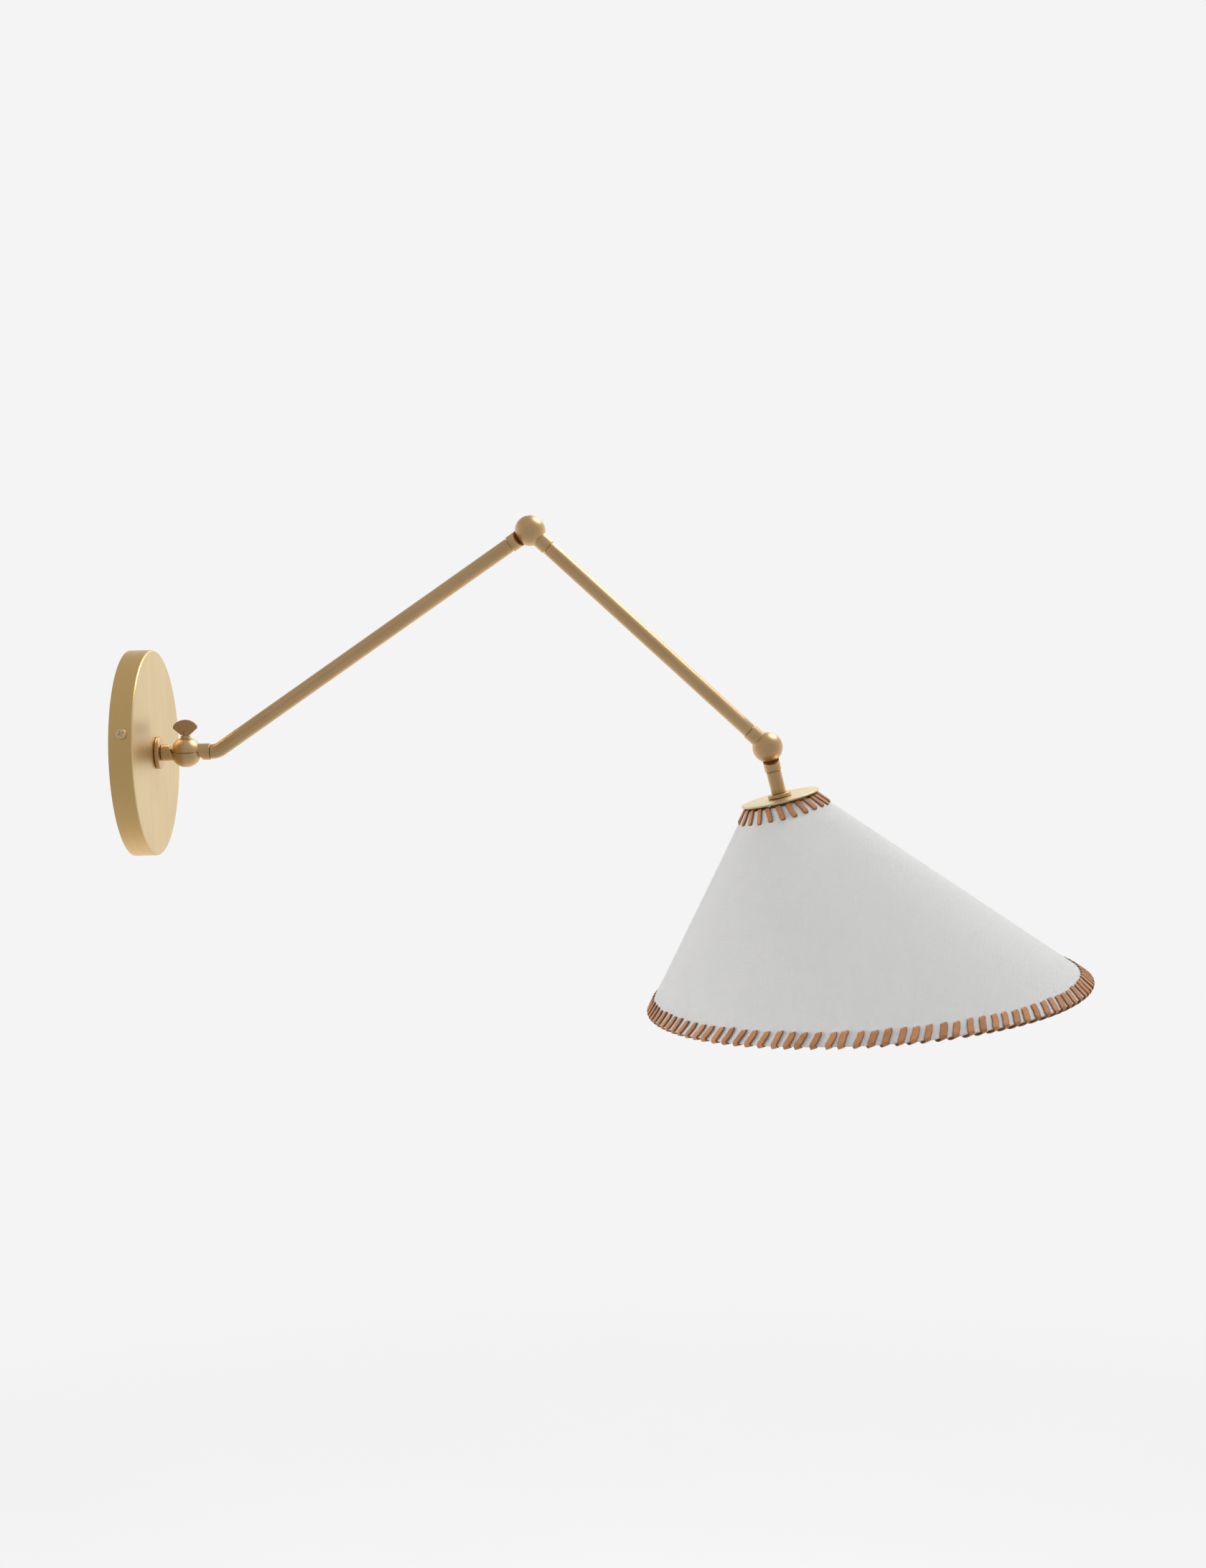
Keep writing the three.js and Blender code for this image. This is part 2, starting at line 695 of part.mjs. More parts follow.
// Path along the lower arm's centre line, starting and ending short of the balls' centres.
function lowerArmPath(shortBy) {
  const start = new THREE.Vector3(shortBy, 0, 0);
  const bendCentre = new THREE.Vector3(bend_corner - bend_tangent, 0, bend_radius);
  const finishAt = elbow_point.clone().addScaledVector(lower_direction, -shortBy);
  return new BentPath(start, bendCentre, finishAt, rise);
}

function lowerArm() {
  const group = new THREE.Group();
  group.position.x = base_ball_x;
  const upperHalf = swivelHalf({ pole: "boss", tail: "spigot", spigotLength: bend_spigot_length });
  group.add(piece("base_swivel_upper", upperHalf, brushed_brass()));

  const section = circle(tube_diameter / 2, tube_sides);
  section.holes.push(circle(tube_bore / 2, tube_sides));
  const tubePath = lowerArmPath(tube_start);
  const tubeSettings = { steps: tubePath.steps, extrudePath: tubePath, bevelEnabled: false };
  group.add(piece("lower_arm_tube", new THREE.ExtrudeGeometry(section, tubeSettings), brushed_brass()));

  const wirePath = lowerArmPath(wire_start);
  const wireSettings = { steps: wirePath.steps, extrudePath: wirePath, bevelEnabled: false };
  const jacket = circle(wire_diameter / 2, wire_sides);
  group.add(piece("lower_arm_wire", new THREE.ExtrudeGeometry(jacket, wireSettings), wire_jacket()));

  const farHalf = swivelHalf({ pole: "pocket", tail: "spigot", spigotLength: spigot_length });
  const far = piece("elbow_swivel_far", farHalf, brushed_brass());
  aim(far, new THREE.Vector3(0, 1, 0), lower_direction.clone().negate());
  far.position.copy(elbow_point);
  group.add(far);
  return group;
}

// ---- upper arm -------------------------------------------------------------------------

// Its own +X runs from the elbow to the head ball.
function upperArm() {
  const group = new THREE.Group();
  const near = new THREE.Vector3(0, -1, 0);
  const far = new THREE.Vector3(0, 1, 0);
  const ahead = new THREE.Vector3(1, 0, 0);
  const back = new THREE.Vector3(-1, 0, 0);
  const joints = [["elbow", 0, ahead], ["head", upper_arm_length, back]];
  for (const [name, at, toward] of joints) {
    const half = swivelHalf({ pole: "blind", tail: "spigot", spigotLength: spigot_length });
    const parts = [
      aim(piece(name + "_swivel_near", half, brushed_brass()), near, toward),
      aim(piece(name + "_pivot_screw", pivotScrew(), brushed_brass()), far, toward),
      aim(piece(name + "_spring_washer", springWasher(), zinc_steel()), far, toward),
      aim(piece(name + "_friction_washer", frictionWasher(), fibre()), far, toward),
    ];
    for (const part of parts) {
      part.position.x = at;
      group.add(part);
    }
  }
  const tube = ringOutline(tube_bore / 2, tube_diameter / 2, tube_start, upper_arm_length - tube_start);
  group.add(piece("upper_arm_tube", turnedAlongX(tube, tube_sides), brushed_brass()));
  const wire = rodOutline(wire_diameter / 2, wire_start, upper_arm_length - wire_start);
  group.add(piece("upper_arm_wire", turnedAlongX(wire, wire_sides), wire_jacket()));
  return group;
}

// ---- head ------------------------------------------------------------------------------

// Levels along the stem, as distances below the head ball's centre.
const stem_end = tube_start + stem_length;
const stem_collar_end = stem_end + fit_gap + stem_collar_thickness;
const cap_end = stem_collar_end + fit_gap + cap_thickness;
const hub_end = cap_end + fit_gap + spider_hub_thickness;
const nut_end = hub_end + fit_gap + nut_thickness;
const socket_cap_start = nut_end + fit_gap;
const socket_cap_end = socket_cap_start + socket_cap_height;
const socket_start = socket_cap_end + fit_gap;
const socket_end = socket_start + socket_length;
const contact_end = socket_start + socket_floor + fit_gap + contact_thickness;
const bulb_tip = contact_end + fit_gap;
const bulb_base_start = bulb_tip + bulb_tip_height;
const bulb_base_end = bulb_base_start + bulb_base_length;
const glass_start = bulb_base_end - bulb_neck_in_base;
const glass_end = bulb_base_end + bulb_glass_length;
// The lacing folds over the shade's top edge at a slant, so its corner stands up to √2 as high.
const shade_top_drop = cap_end + fit_gap + Math.SQRT2 * (lace_thickness + fit_gap);

// Frame of the shade's wall at one angle: its top and rim points, the slope between them and
// the direction out of the wall. Height runs up, so drops are negative.
function wallAt(angle) {
  const tilt = radians(shade_rim_tilt);
  const top = new THREE.Vector3(Math.cos(angle), Math.sin(angle), 0).multiplyScalar(shade_top_radius);
  top.z = -shade_top_drop;
  const across = new THREE.Vector3(Math.cos(tilt), 0, -Math.sin(tilt)).multiplyScalar(Math.cos(angle));
  const rim = across.setY(Math.sin(angle)).multiplyScalar(shade_rim_radius);
  rim.add(new THREE.Vector3(shade_rim_offset, 0, -shade_rim_drop));
  const slope = rim.clone().sub(top).normalize();
  const radial = new THREE.Vector3(Math.cos(angle), Math.sin(angle), 0);
  const out = radial.addScaledVector(slope, -radial.dot(slope)).normalize();
  return { top, rim, slope, out };
}

// A point on the wall: `down` from the top edge, or up from the rim where it is given as `up`,
// and `proud` of the linen's outer face.
function wallPoint(angle, { down, up, proud }) {
  const wall = wallAt(angle);
  const point = up === undefined
    ? wall.top.clone().addScaledVector(wall.slope, down)
    : wall.rim.clone().addScaledVector(wall.slope, -up);
  return point.addScaledVector(wall.out, proud);
}

// A closed band all the way round the shade. The section's corners run counter-clockwise, seen
// with the wall's outside on the right and the shade's top above. The wall is slightly twisted,
// so every four-cornered face is split the same way, and nested bands stay evenly apart.
function shadeBand(section) {
  const positions = [];
  const corners = [];
  const count = section.length;
  for (let i = 0; i < shade_sides; i += 1) {
    for (const corner of section) positions.push(...wallPoint((2 * Math.PI * i) / shade_sides, corner));
  }
  for (let i = 0; i < shade_sides; i += 1) {
    for (let j = 0; j < count; j += 1) {
      const a = i * count + j;
      const b = i * count + ((j + 1) % count);
      const c = ((i + 1) % shade_sides) * count + j;
      const d = ((i + 1) % shade_sides) * count + ((j + 1) % count);
      const downward = positions[3 * a + 2] > positions[3 * b + 2];
      if (downward) corners.push(a, c, b, c, d, b);
      else corners.push(a, c, d, a, d, b);
    }
  }
  const geometry = new THREE.BufferGeometry();
  geometry.setAttribute("position", new THREE.Float32BufferAttribute(positions, 3));
  geometry.setIndex(corners);
  return geometry;
}

const liner_outside = -(linen_thickness + fit_gap);
const liner_inside = liner_outside - liner_thickness;
const lace_inside = liner_inside - fit_gap;
const ring_centre = lace_inside - lace_thickness - fit_gap - ring_wire / 2;

// Wall of the linen or the liner between two depths.
function wallSheet(outside, inside) {
  return shadeBand([
    { up: 0, proud: inside },
    { up: 0, proud: outside },
    { down: 0, proud: outside },
    { down: 0, proud: inside },
  ]);
}

// U-shaped band over the top edge ("down") or the rim ("up").
function laceBand(along, length) {
  const at = (distance, proud) => ({ [along]: distance, proud });
  const outer = [fit_gap + lace_thickness, fit_gap];
  const inner = [lace_inside, lace_inside - lace_thickness];
  const section = [
    at(length, inner[1]),
    at(length, inner[0]),
    at(-fit_gap, inner[0]),
    at(-fit_gap, outer[1]),
    at(length, outer[1]),
    at(length, outer[0]),
    at(-fit_gap - lace_thickness, outer[0]),
    at(-fit_gap - lace_thickness, inner[1]),
  ];
  return shadeBand(along === "down" ? section : section.reverse());
}

// Round wire just inside the lacing.
function wireRing(along) {
  const section = [];
  for (let i = 0; i < wire_sides; i += 1) {
    const angle = (2 * Math.PI * i) / wire_sides;
    const distance = ring_from_edge + (ring_wire / 2) * Math.sin(angle);
    section.push({ [along]: distance, proud: ring_centre + (ring_wire / 2) * Math.cos(angle) });
  }
  return shadeBand(along === "down" ? section.reverse() : section);
}

// Hub under the cap, three wires and the ring that holds the shade's top.
function spider() {
  const hub_low = -hub_end;
  let frame = solidOf(turned(
    ringOutline(stem_hole_radius, spider_hub_diameter / 2, hub_low, hub_low + spider_hub_thickness), tube_sides));
  frame = frame.add(solidOf(wireRing("down")));
  for (const turn of [0, 1, 2]) {
    const angle = (2 * Math.PI * (turn * shade_sides / 3)) / shade_sides;
    const outerEnd = wallPoint(angle, { down: ring_from_edge, proud: ring_centre });
    const innerEnd = new THREE.Vector3(Math.cos(angle), Math.sin(angle), 0)
      .multiplyScalar(spider_hub_diameter / 2 - spider_wire)
      .setZ(hub_low + spider_hub_thickness / 2);
    const along = outerEnd.clone().sub(innerEnd);
    const arm = turned(rodOutline(spider_wire / 2, 0, along.length()), wire_sides);
    const turnTo = new THREE.Quaternion().setFromUnitVectors(new THREE.Vector3(0, 0, 1), along.normalize());
    frame = frame.add(solidOf(arm.applyQuaternion(turnTo).translate(...innerEnd)));
  }
  const nipplePath = turned(rodOutline(stem_hole_radius, hub_low - 5, hub_low + 5), tube_sides);
  const aboveHub = block([cap_diameter, cap_diameter, 10], [0, 0, hub_low + spider_hub_thickness + 5]);
  const belowHub = turned(rodOutline(spider_hub_diameter / 2, hub_low - 10, hub_low), tube_sides);
  return frame.subtract(solidOf(nipplePath)).subtract(solidOf(aboveHub)).subtract(solidOf(belowHub));
}

function socketCap() {
  const outer = socket_diameter / 2;
  const inner = outer - socket_cap_wall;
  const top = -socket_cap_start;
  const low = -socket_cap_end;
  const dome = socket_cap_height * 0.6;
  const neck = nut_across_flats / 2;
  return turned([
    [inner, low],
    [outer, low],
    [outer, top - dome],
    [(outer + neck) / 2 + 2, top - dome * 0.3],
    [neck, top],
    [stem_hole_radius, top],
    [stem_hole_radius, top - socket_cap_wall],
    [neck - 0.4, top - socket_cap_wall],
    [(inner + neck) / 2 + 1.6, top - dome * 0.3 - socket_cap_wall],
    [inner, top - dome],
    [inner, low],
  ], ball_sides);
}

const shell_bore = bulb_base_diameter / 2 + fit_gap;
const shell_outer = shell_bore + screw_shell_wall;

function socketBody() {
  const bore = shell_outer + fit_gap;
  return turned([
    [bore, -socket_end],
    [socket_diameter / 2, -socket_end],
    [socket_diameter / 2, -socket_start],
    [wire_diameter / 2 + fit_gap, -socket_start],
    [wire_diameter / 2 + fit_gap, -socket_start - socket_floor],
    [bore, -socket_start - socket_floor],
    [bore, -socket_end],
  ], ball_sides);
}

// Screw base of the bulb: a cup with rolled threads and a tip.
function bulbBase() {
  const radius = bulb_base_diameter / 2;
  const inner = radius - bulb_thread_depth - bulb_base_wall;
  const turns = Math.floor((bulb_base_length - 8) / bulb_thread_pitch);
  const threads = [];
  for (let i = 0; i <= 2 * turns; i += 1) {
    const height = -bulb_base_end + 5 + (bulb_thread_pitch * i) / 2;
    threads.push([radius - (i % 2) * bulb_thread_depth, height]);
  }
  return turned([
    [0, -bulb_base_start - bulb_base_wall],
    [inner, -bulb_base_start - bulb_base_wall - 2],
    [inner, -bulb_base_end],
    [radius, -bulb_base_end],
    ...threads,
    [radius - 2, -bulb_base_start],
    [bulb_tip_diameter / 2, -bulb_base_start + bulb_tip_height * 0.6],
    [bulb_tip_diameter / 2, -bulb_tip - 0.5],
    [bulb_tip_diameter / 2 - 1, -bulb_tip],
    [0, -bulb_tip],
  ], ball_sides);
}

function bulbGlass() {
  const radius = bulb_diameter / 2;
  const neck = bulb_base_diameter / 2 - bulb_thread_depth - bulb_base_wall - fit_gap;
  const centre = -glass_end + radius;
  const outside = [[neck, -bulb_base_end - 6], [neck, -glass_start]];
  const inside = (point) => [Math.max(point[0] - bulb_glass_wall, 0), point[1]];
  const globe = arc(0, centre, radius, -90, 24, globe_arc_steps);
  globe[0][0] = 0;
  const hollow = arc(0, centre, radius - bulb_glass_wall, 24, -90, globe_arc_steps);
  hollow[hollow.length - 1][0] = 0;
  return turned([...globe, ...outside, ...outside.slice().reverse().map(inside), ...hollow], ball_sides);
}

// Its own Z is the stem's axis with the head ball's centre at the origin; +X leans outward.
function head() {
  const group = new THREE.Group();
  const farHalf = swivelHalf({ pole: "pocket", tail: "spigot", spigotLength: spigot_length });
  const down = new THREE.Vector3(0, 0, -1);
  group.add(aim(piece("head_swivel_far", farHalf, brushed_brass()), new THREE.Vector3(0, 1, 0), down));

  const tube = ringOutline(tube_bore / 2, tube_diameter / 2, -stem_end, -tube_start);
  group.add(piece("stem_tube", turned(tube, tube_sides), brushed_brass()));
  const nipple_top = -(knuckle_reach + spigot_length + 2 * fit_gap);
  const nipple_low = -socket_cap_start - socket_cap_wall - nipple_behind_nut;
  group.add(piece("stem_nipple", nipple(stem_nipple_diameter, nipple_low, nipple_top), zinc_steel()));
  const collar = turned([
    [stem_hole_radius, -stem_collar_end],
    [stem_collar_diameter / 2, -stem_collar_end],
    [stem_collar_diameter / 2, -stem_end - fit_gap - 0.5],
    [stem_collar_diameter / 2 - 0.5, -stem_end - fit_gap],
    [stem_hole_radius, -stem_end - fit_gap],
    [stem_hole_radius, -stem_collar_end],
  ], ball_sides);
  group.add(piece("stem_collar", collar, brushed_brass()));
  const cap = ringOutline(stem_hole_radius, cap_diameter / 2, -cap_end, -cap_end + cap_thickness);
  group.add(piece("shade_cap", turned(cap, canopy_sides / 2), pale_brass()));
  group.add(piece("stem_nut", hexNut(stem_hole_radius, -nut_end), zinc_steel()));

  group.add(piece("socket_cap", socketCap(), brushed_brass()));
  group.add(piece("socket_body", socketBody(), phenolic()));
  const shell_top = -socket_start - socket_floor - fit_gap;
  const shell = ringOutline(shell_bore, shell_outer, shell_top - screw_shell_length, shell_top);
  group.add(piece("socket_screw_shell", turned(shell, ball_sides), aluminium()));
  const contact = rodOutline(contact_diameter / 2, -contact_end, -contact_end + contact_thickness);
  group.add(piece("socket_contact", turned(contact, small_sides), brushed_brass()));
  group.add(piece("bulb_base", bulbBase(), aluminium()));
  group.add(piece("bulb_glass", bulbGlass(), frosted_glass()));
  const wire = rodOutline(wire_diameter / 2, -socket_cap_end + fit_gap, -wire_start);
  group.add(piece("stem_wire", turned(wire, wire_sides), wire_jacket()));

  group.add(piece("shade_spider", spider(), zinc_steel()));
  group.add(piece("shade_linen", wallSheet(0, -linen_thickness), linen()));
  group.add(piece("shade_liner", wallSheet(liner_outside, liner_inside), styrene()));
  group.add(piece("shade_rim_ring", wireRing("up"), zinc_steel()));
  group.add(piece("shade_top_lacing", laceBand("down", lace_length_top), leather()));
  group.add(piece("shade_rim_lacing", laceBand("up", lace_length_rim), leather()));
  return group;
}

// ---- assembly --------------------------------------------------------------------------

const group = new THREE.Group();
const lower_arm = lowerArm();
const upper_arm = upperArm();
const lamp_head = head();
upper_arm.position.copy(elbow_point);
upper_arm.rotation.y = radians(upper_arm_fall);
lamp_head.position.x = upper_arm_length;
lamp_head.rotation.y = -radians(upper_arm_fall + stem_lean);
upper_arm.add(lamp_head);
lower_arm.add(upper_arm);
group.add(wallSide(), thumbScrew(), lower_arm);

export default group;
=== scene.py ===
"""Swing arm wall sconce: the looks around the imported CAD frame.

Shapes are made in millimetres in a frame of their own, then put where the joints say.
"""

import json
import math
import random

import bmesh
import bpy
import numpy as np
from mathutils import Matrix, Vector

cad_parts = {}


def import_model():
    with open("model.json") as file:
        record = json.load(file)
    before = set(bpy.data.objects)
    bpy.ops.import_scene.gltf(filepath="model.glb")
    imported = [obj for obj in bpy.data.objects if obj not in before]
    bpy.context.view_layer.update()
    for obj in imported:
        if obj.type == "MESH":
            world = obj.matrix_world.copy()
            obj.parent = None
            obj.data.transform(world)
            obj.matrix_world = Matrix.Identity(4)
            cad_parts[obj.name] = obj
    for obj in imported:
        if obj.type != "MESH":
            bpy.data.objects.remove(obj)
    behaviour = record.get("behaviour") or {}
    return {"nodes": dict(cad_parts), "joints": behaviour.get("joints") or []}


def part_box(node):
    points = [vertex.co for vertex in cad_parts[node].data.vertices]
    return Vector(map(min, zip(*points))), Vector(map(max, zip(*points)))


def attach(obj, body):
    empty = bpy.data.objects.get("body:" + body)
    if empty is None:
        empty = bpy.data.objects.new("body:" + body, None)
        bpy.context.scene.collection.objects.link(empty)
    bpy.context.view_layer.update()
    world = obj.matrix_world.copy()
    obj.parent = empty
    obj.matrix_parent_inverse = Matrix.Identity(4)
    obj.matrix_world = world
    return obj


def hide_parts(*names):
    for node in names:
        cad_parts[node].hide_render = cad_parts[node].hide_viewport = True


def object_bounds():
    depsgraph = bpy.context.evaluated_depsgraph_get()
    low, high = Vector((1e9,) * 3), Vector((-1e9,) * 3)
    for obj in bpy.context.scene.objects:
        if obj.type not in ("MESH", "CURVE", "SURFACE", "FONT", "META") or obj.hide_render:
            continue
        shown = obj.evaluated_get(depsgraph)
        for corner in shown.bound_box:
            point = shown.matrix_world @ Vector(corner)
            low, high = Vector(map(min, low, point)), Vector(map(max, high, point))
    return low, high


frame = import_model()
cad_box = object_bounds()

TAU = 2 * math.pi
X, Y, Z = Vector((1, 0, 0)), Vector((0, 1, 0)), Vector((0, 0, 1))


# ---- sizes shared with the CAD, in millimetres

GAP, SEAM = 0.3, 0.5
CANOPY_R, CANOPY_DEPTH, CANOPY_WALL, CANOPY_EDGE = 70.0, 15.6, 1.2, 1.6
COLLAR_LOW, COLLAR_HIGH, COLLAR_R = 15.9, 18.7, 11.0
NIPPLE_R, NIPPLE_HOLE, NIPPLE_BORE = 3.9, 4.2, 2.5
BALL_R, CAVITY_R, CAVITY_DEPTH, POST_R, POST_TOP = 10.3, 8.0, 3.2, 3.5, 0.5
BLIND_FLOOR, POCKET_R, POCKET_FLOOR, BOSS_R, BOSS_PROUD = 6.5, 3.8, 5.2, 3.4, 1.1
KNUCKLE_R, REACH, RELIEF = 5.6, 16.6, 0.52
TUBE_R, BORE_R, SPIGOT_R, WIRE_R = 5.0, 4.2, 3.9, 1.8
TUBE_START = REACH + SEAM
PIVOT_HOLE, PIVOT_R, PIVOT_TIP, PIVOT_HEAD_LOW, PIVOT_HEAD_HIGH, PIVOT_HEAD_R = 2.2, 1.9, -6.2, 6.6, 8.8, 3.5
BEND_R, STRAIGHT = 12.0, 0.4
STEM_HOLE = 4.2
STEM_END, STEM_COLLAR_END, STEM_COLLAR_R, CAP_END, CAP_R = 32.1, 34.8, 8, 36.3, 27
HUB_R, HUB_END, NUT_END, DISC_THICK = 9, 37.8, 41.1, 1.2
SOCKET_R, SOCKET_CAP_START, SOCKET_CAP_END = 17.0, 41.4, 55.4
SOCKET_START, SOCKET_END, SOCKET_FLOOR = 55.7, 89.7, 3
SHELL_R, SHELL_BORE, SHELL_LONG = 13.8, 13.3, 24
CONTACT_R, CONTACT_THICK = 3.5, 1.4
BULB_TIP, BASE_START, BASE_END, BASE_R = 60.7, 63.7, 87.7, 13.0
GLASS_START, GLASS_END, GLASS_R, GLASS_WALL, GLASS_NECK = 82.7, 171.7, 30.0, 0.8, 11.4
LEAN = math.radians(13)
TOP_R, TOP_DROP = 25.0, CAP_END + GAP + math.sqrt(2) * (1 + GAP)
RIM_R, RIM_DROP, RIM_OUT, RIM_TILT = 151.0, 181.0, 26.0, math.radians(9)
RING_PROUD, RING_WIRE, RING_FROM_EDGE = -4.5, 2.4, 2.4
RIM_STRAPS, TOP_STRAPS = 106, 24
SCREW_X, SCREW_RISE, SCREW_HOLE = CANOPY_DEPTH - 7, math.radians(15), 2.35
STRAP_HALF, STRAP_WIDTH, STRAP_THICK, STRAP_BEND, EAR_HEIGHT = 67.46, 20.0, 2.0, 3.5, 13.0
BOX_SLOT_AT, BOX_SLOT_LONG, BOX_SLOT_WIDE = 44.45, 12.0, 4.8
GROUND_AT, GROUND_HOLE = 22.0, 2.1
NUT_FLATS, NUT_THICK, CANOPY_NUT_LOW = 12.0, 3.0, 9.8
WASHER_R, WASHER_LOW, WASHER_THICK, WASHER_SPLIT = 6.25, 13.1, 1.0, 0.8
CONNECTOR_X, CONNECTOR_LONG, MOUTH_R, TIP_R, CONNECTOR_WALL = 7.2, 15.0, 4.2, 2.5, 1.2
LEAD_R, LEAD_X = 0.9, 6.12

# The shade's wall laid flat: the share of a full turn that it takes, and its mean slant height.
CUT_SHARE, CUT_HEIGHT = 0.663, 189.5


# ---- where things are

joint_at = {j["name"]: Vector(j["pos_m"]) * 1000 for j in frame["joints"]}
BASE, ELBOW, HEAD = joint_at["base_swing"], joint_at["elbow_tilt"], joint_at["head_tilt"]
UPPER_DIR = (HEAD - ELBOW).normalized()
RISE = 2 * math.atan2(1, 1)
for _ in range(60):  # the slope of the lower arm past its bend
    corner = TUBE_START + STRAIGHT + BEND_R * math.tan(RISE / 2)
    RISE = math.atan2(ELBOW.z - BASE.z, ELBOW.x - BASE.x - corner)
LOWER_DIR = Vector((math.cos(RISE), 0, math.sin(RISE)))
STEM_UP = Vector((-math.sin(LEAN), 0, math.cos(LEAN)))
STEM_OUT = Vector((math.cos(LEAN), 0, math.sin(LEAN)))
SCREW_LINE = Vector((0, -math.cos(SCREW_RISE), math.sin(SCREW_RISE)))


def placed(origin, z_axis, x_axis):
    """Matrix from a millimetre frame to the row frame in metres."""
    z_axis, x_axis = z_axis.normalized(), x_axis.normalized()
    y_axis = z_axis.cross(x_axis)
    m = Matrix((x_axis, y_axis, z_axis)).transposed().to_4x4()
    m.translation = origin
    return Matrix.Scale(0.001, 4) @ m


ON_WALL = placed(Vector((0, 0, 0)), X, Z)
HEAD_FRAME = placed(HEAD, STEM_UP, STEM_OUT)
PLAIN = Matrix.Scale(0.001, 4)


# ---- materials


def rgb(*levels):
    """Linear colour from sRGB levels of 0 to 255."""
    return tuple(
        (c / 255 / 12.92 if c < 11 else ((c / 255 + 0.055) / 1.055) ** 2.4)
        for c in levels
    ) + (1.0,)


def toned(colour, factor):
    return rgb(*[min(255, factor * c) for c in colour])


class Nodes:
    """The node tree of a material or a world, with short ways to add to it."""

    def __init__(self, owner):
        self.owner = owner
        owner.use_nodes = True
        self.tree = owner.node_tree

    def find(self, kind):
        return next(n for n in self.tree.nodes if n.type == kind)

    def feed(self, socket, value):
        """Links a socket to another one, or gives it a constant."""
        if isinstance(value, bpy.types.NodeSocket):
            self.tree.links.new(value, socket)
        else:
            socket.default_value = value

    def add(self, kind, inputs=None, **settings):
        node = self.tree.nodes.new("ShaderNode" + kind)
        for k, v in settings.items():
            setattr(node, k, v)
        for k, v in (inputs or {}).items():
            self.feed(node.inputs[k], v)
        return node

    def set(self, **values):
        surface = self.find("BSDF_PRINCIPLED")
        for k, v in values.items():
            self.feed(surface.inputs[k.replace("_", " ")], v)

    def attribute(self, name):
        return self.add("Attribute", attribute_name=name).outputs["Vector"]

    def place(self):
        return self.add("TexCoord").outputs["Object"]

    def xyz(self, vector):
        return self.add("SeparateXYZ", {"Vector": vector}).outputs

    def scaled(self, vector, scale):
        if scale is None:
            return vector
        if not hasattr(scale, "__len__"):
            scale = (scale,) * 3
        return self.add("Mapping", {"Vector": vector, "Scale": scale}).outputs[0]

    def noise(self, vector, scale=None, detail=3.0, roughness=0.5):
        inputs = {"Vector": self.scaled(vector, scale), "Scale": 1.0, "Detail": detail}
        return self.add("TexNoise", {**inputs, "Roughness": roughness}).outputs["Fac"]

    def voronoi(self, vector, scale, output="Distance"):
        return self.add("TexVoronoi", {"Vector": self.scaled(vector, scale), "Scale": 1.0}).outputs[output]

    def fit(self, value, low, high, to_low=0.0, to_high=1.0):
        return self.add("MapRange", {"Value": value, 1: low, 2: high, 3: to_low, 4: to_high}).outputs[0]

    def ramp(self, value, *stops):
        node = self.add("ValToRGB", {"Fac": value})
        elements = node.color_ramp.elements
        for i, (at, grey) in enumerate(stops):
            e = elements[i] if i < 2 else elements.new(at)
            e.position, e.color = at, (grey, grey, grey, 1)
        return node.outputs["Color"]

    def mix(self, factor, a, b):
        return self.add("Mix", {0: factor, 6: a, 7: b}, data_type="RGBA").outputs[2]

    def math(self, op, a, b=0.0):
        return self.add("Math", {0: a, 1: b}, operation=op).outputs[0]

    def plus(self, a, b):
        return self.math("ADD", a, b)

    def times(self, a, b):
        return self.math("MULTIPLY", a, b)

    def bump(self, height, strength, distance):
        out = self.add("Bump", {"Height": height, "Strength": strength, "Distance": distance}).outputs[0]
        self.set(Normal=out)


def surface(name):
    return Nodes(bpy.data.materials.new(name))


def brass(name, light, dark, rough, streaks=0.5, patina=0.5, wear=0.5, painted_side_tone=None):
    """Satin brass: brush marks follow the "grain" attribute, handling marks and age lie over them. An
    optional side tone paints side walls a deeper brass, as painted reflection and shade.
    """
    n = surface(name)
    grain, place = n.attribute("grain"), n.place()
    fine = n.noise(grain, None, 3.0, 0.55)
    coarse = n.noise(grain, 0.23)
    cloud = n.noise(place, 26.0, 2.5)
    speck = n.times(n.fit(n.voronoi(place, 520.0), 0.0, 0.16, 1.0, 0.0), n.fit(cloud, 0.5, 0.68))
    tone = n.mix(n.fit(cloud, 0.3, 0.72, 0.0, patina), rgb(*light), rgb(*dark))
    tone = n.mix(n.fit(fine, 0.35, 0.7, 0.0, 0.4 * streaks), tone, toned(dark, 0.8))
    tone = n.mix(n.times(speck, 0.14), tone, rgb(96, 66, 34))
    if wear:
        edges = n.add("NewGeometry").outputs["Pointiness"]
        tone = n.mix(n.fit(edges, 0.53, 0.6, 0.0, wear), tone, toned(light, 1.08))
    if painted_side_tone:  # painted reflection and shade: a dish's side wall gets a deeper brass tone than its face
        facing = n.xyz(n.add("NewGeometry").outputs["Normal"])[0]
        tone = n.mix(n.fit(n.math("ABSOLUTE", facing), 0.25, 0.9, 0.85, 0.0), tone, rgb(*painted_side_tone))
    dull = n.plus(n.fit(fine, 0.3, 0.75, rough - 0.05, rough + 0.09),
                  n.fit(coarse, 0.35, 0.65, -0.025, 0.035))
    n.set(Base_Color=tone, Roughness=n.plus(dull, n.times(speck, 0.08)), Metallic=1.0)
    n.bump(n.plus(fine, n.times(coarse, 0.6)), 0.055 * streaks, 0.0002)
    return n.owner


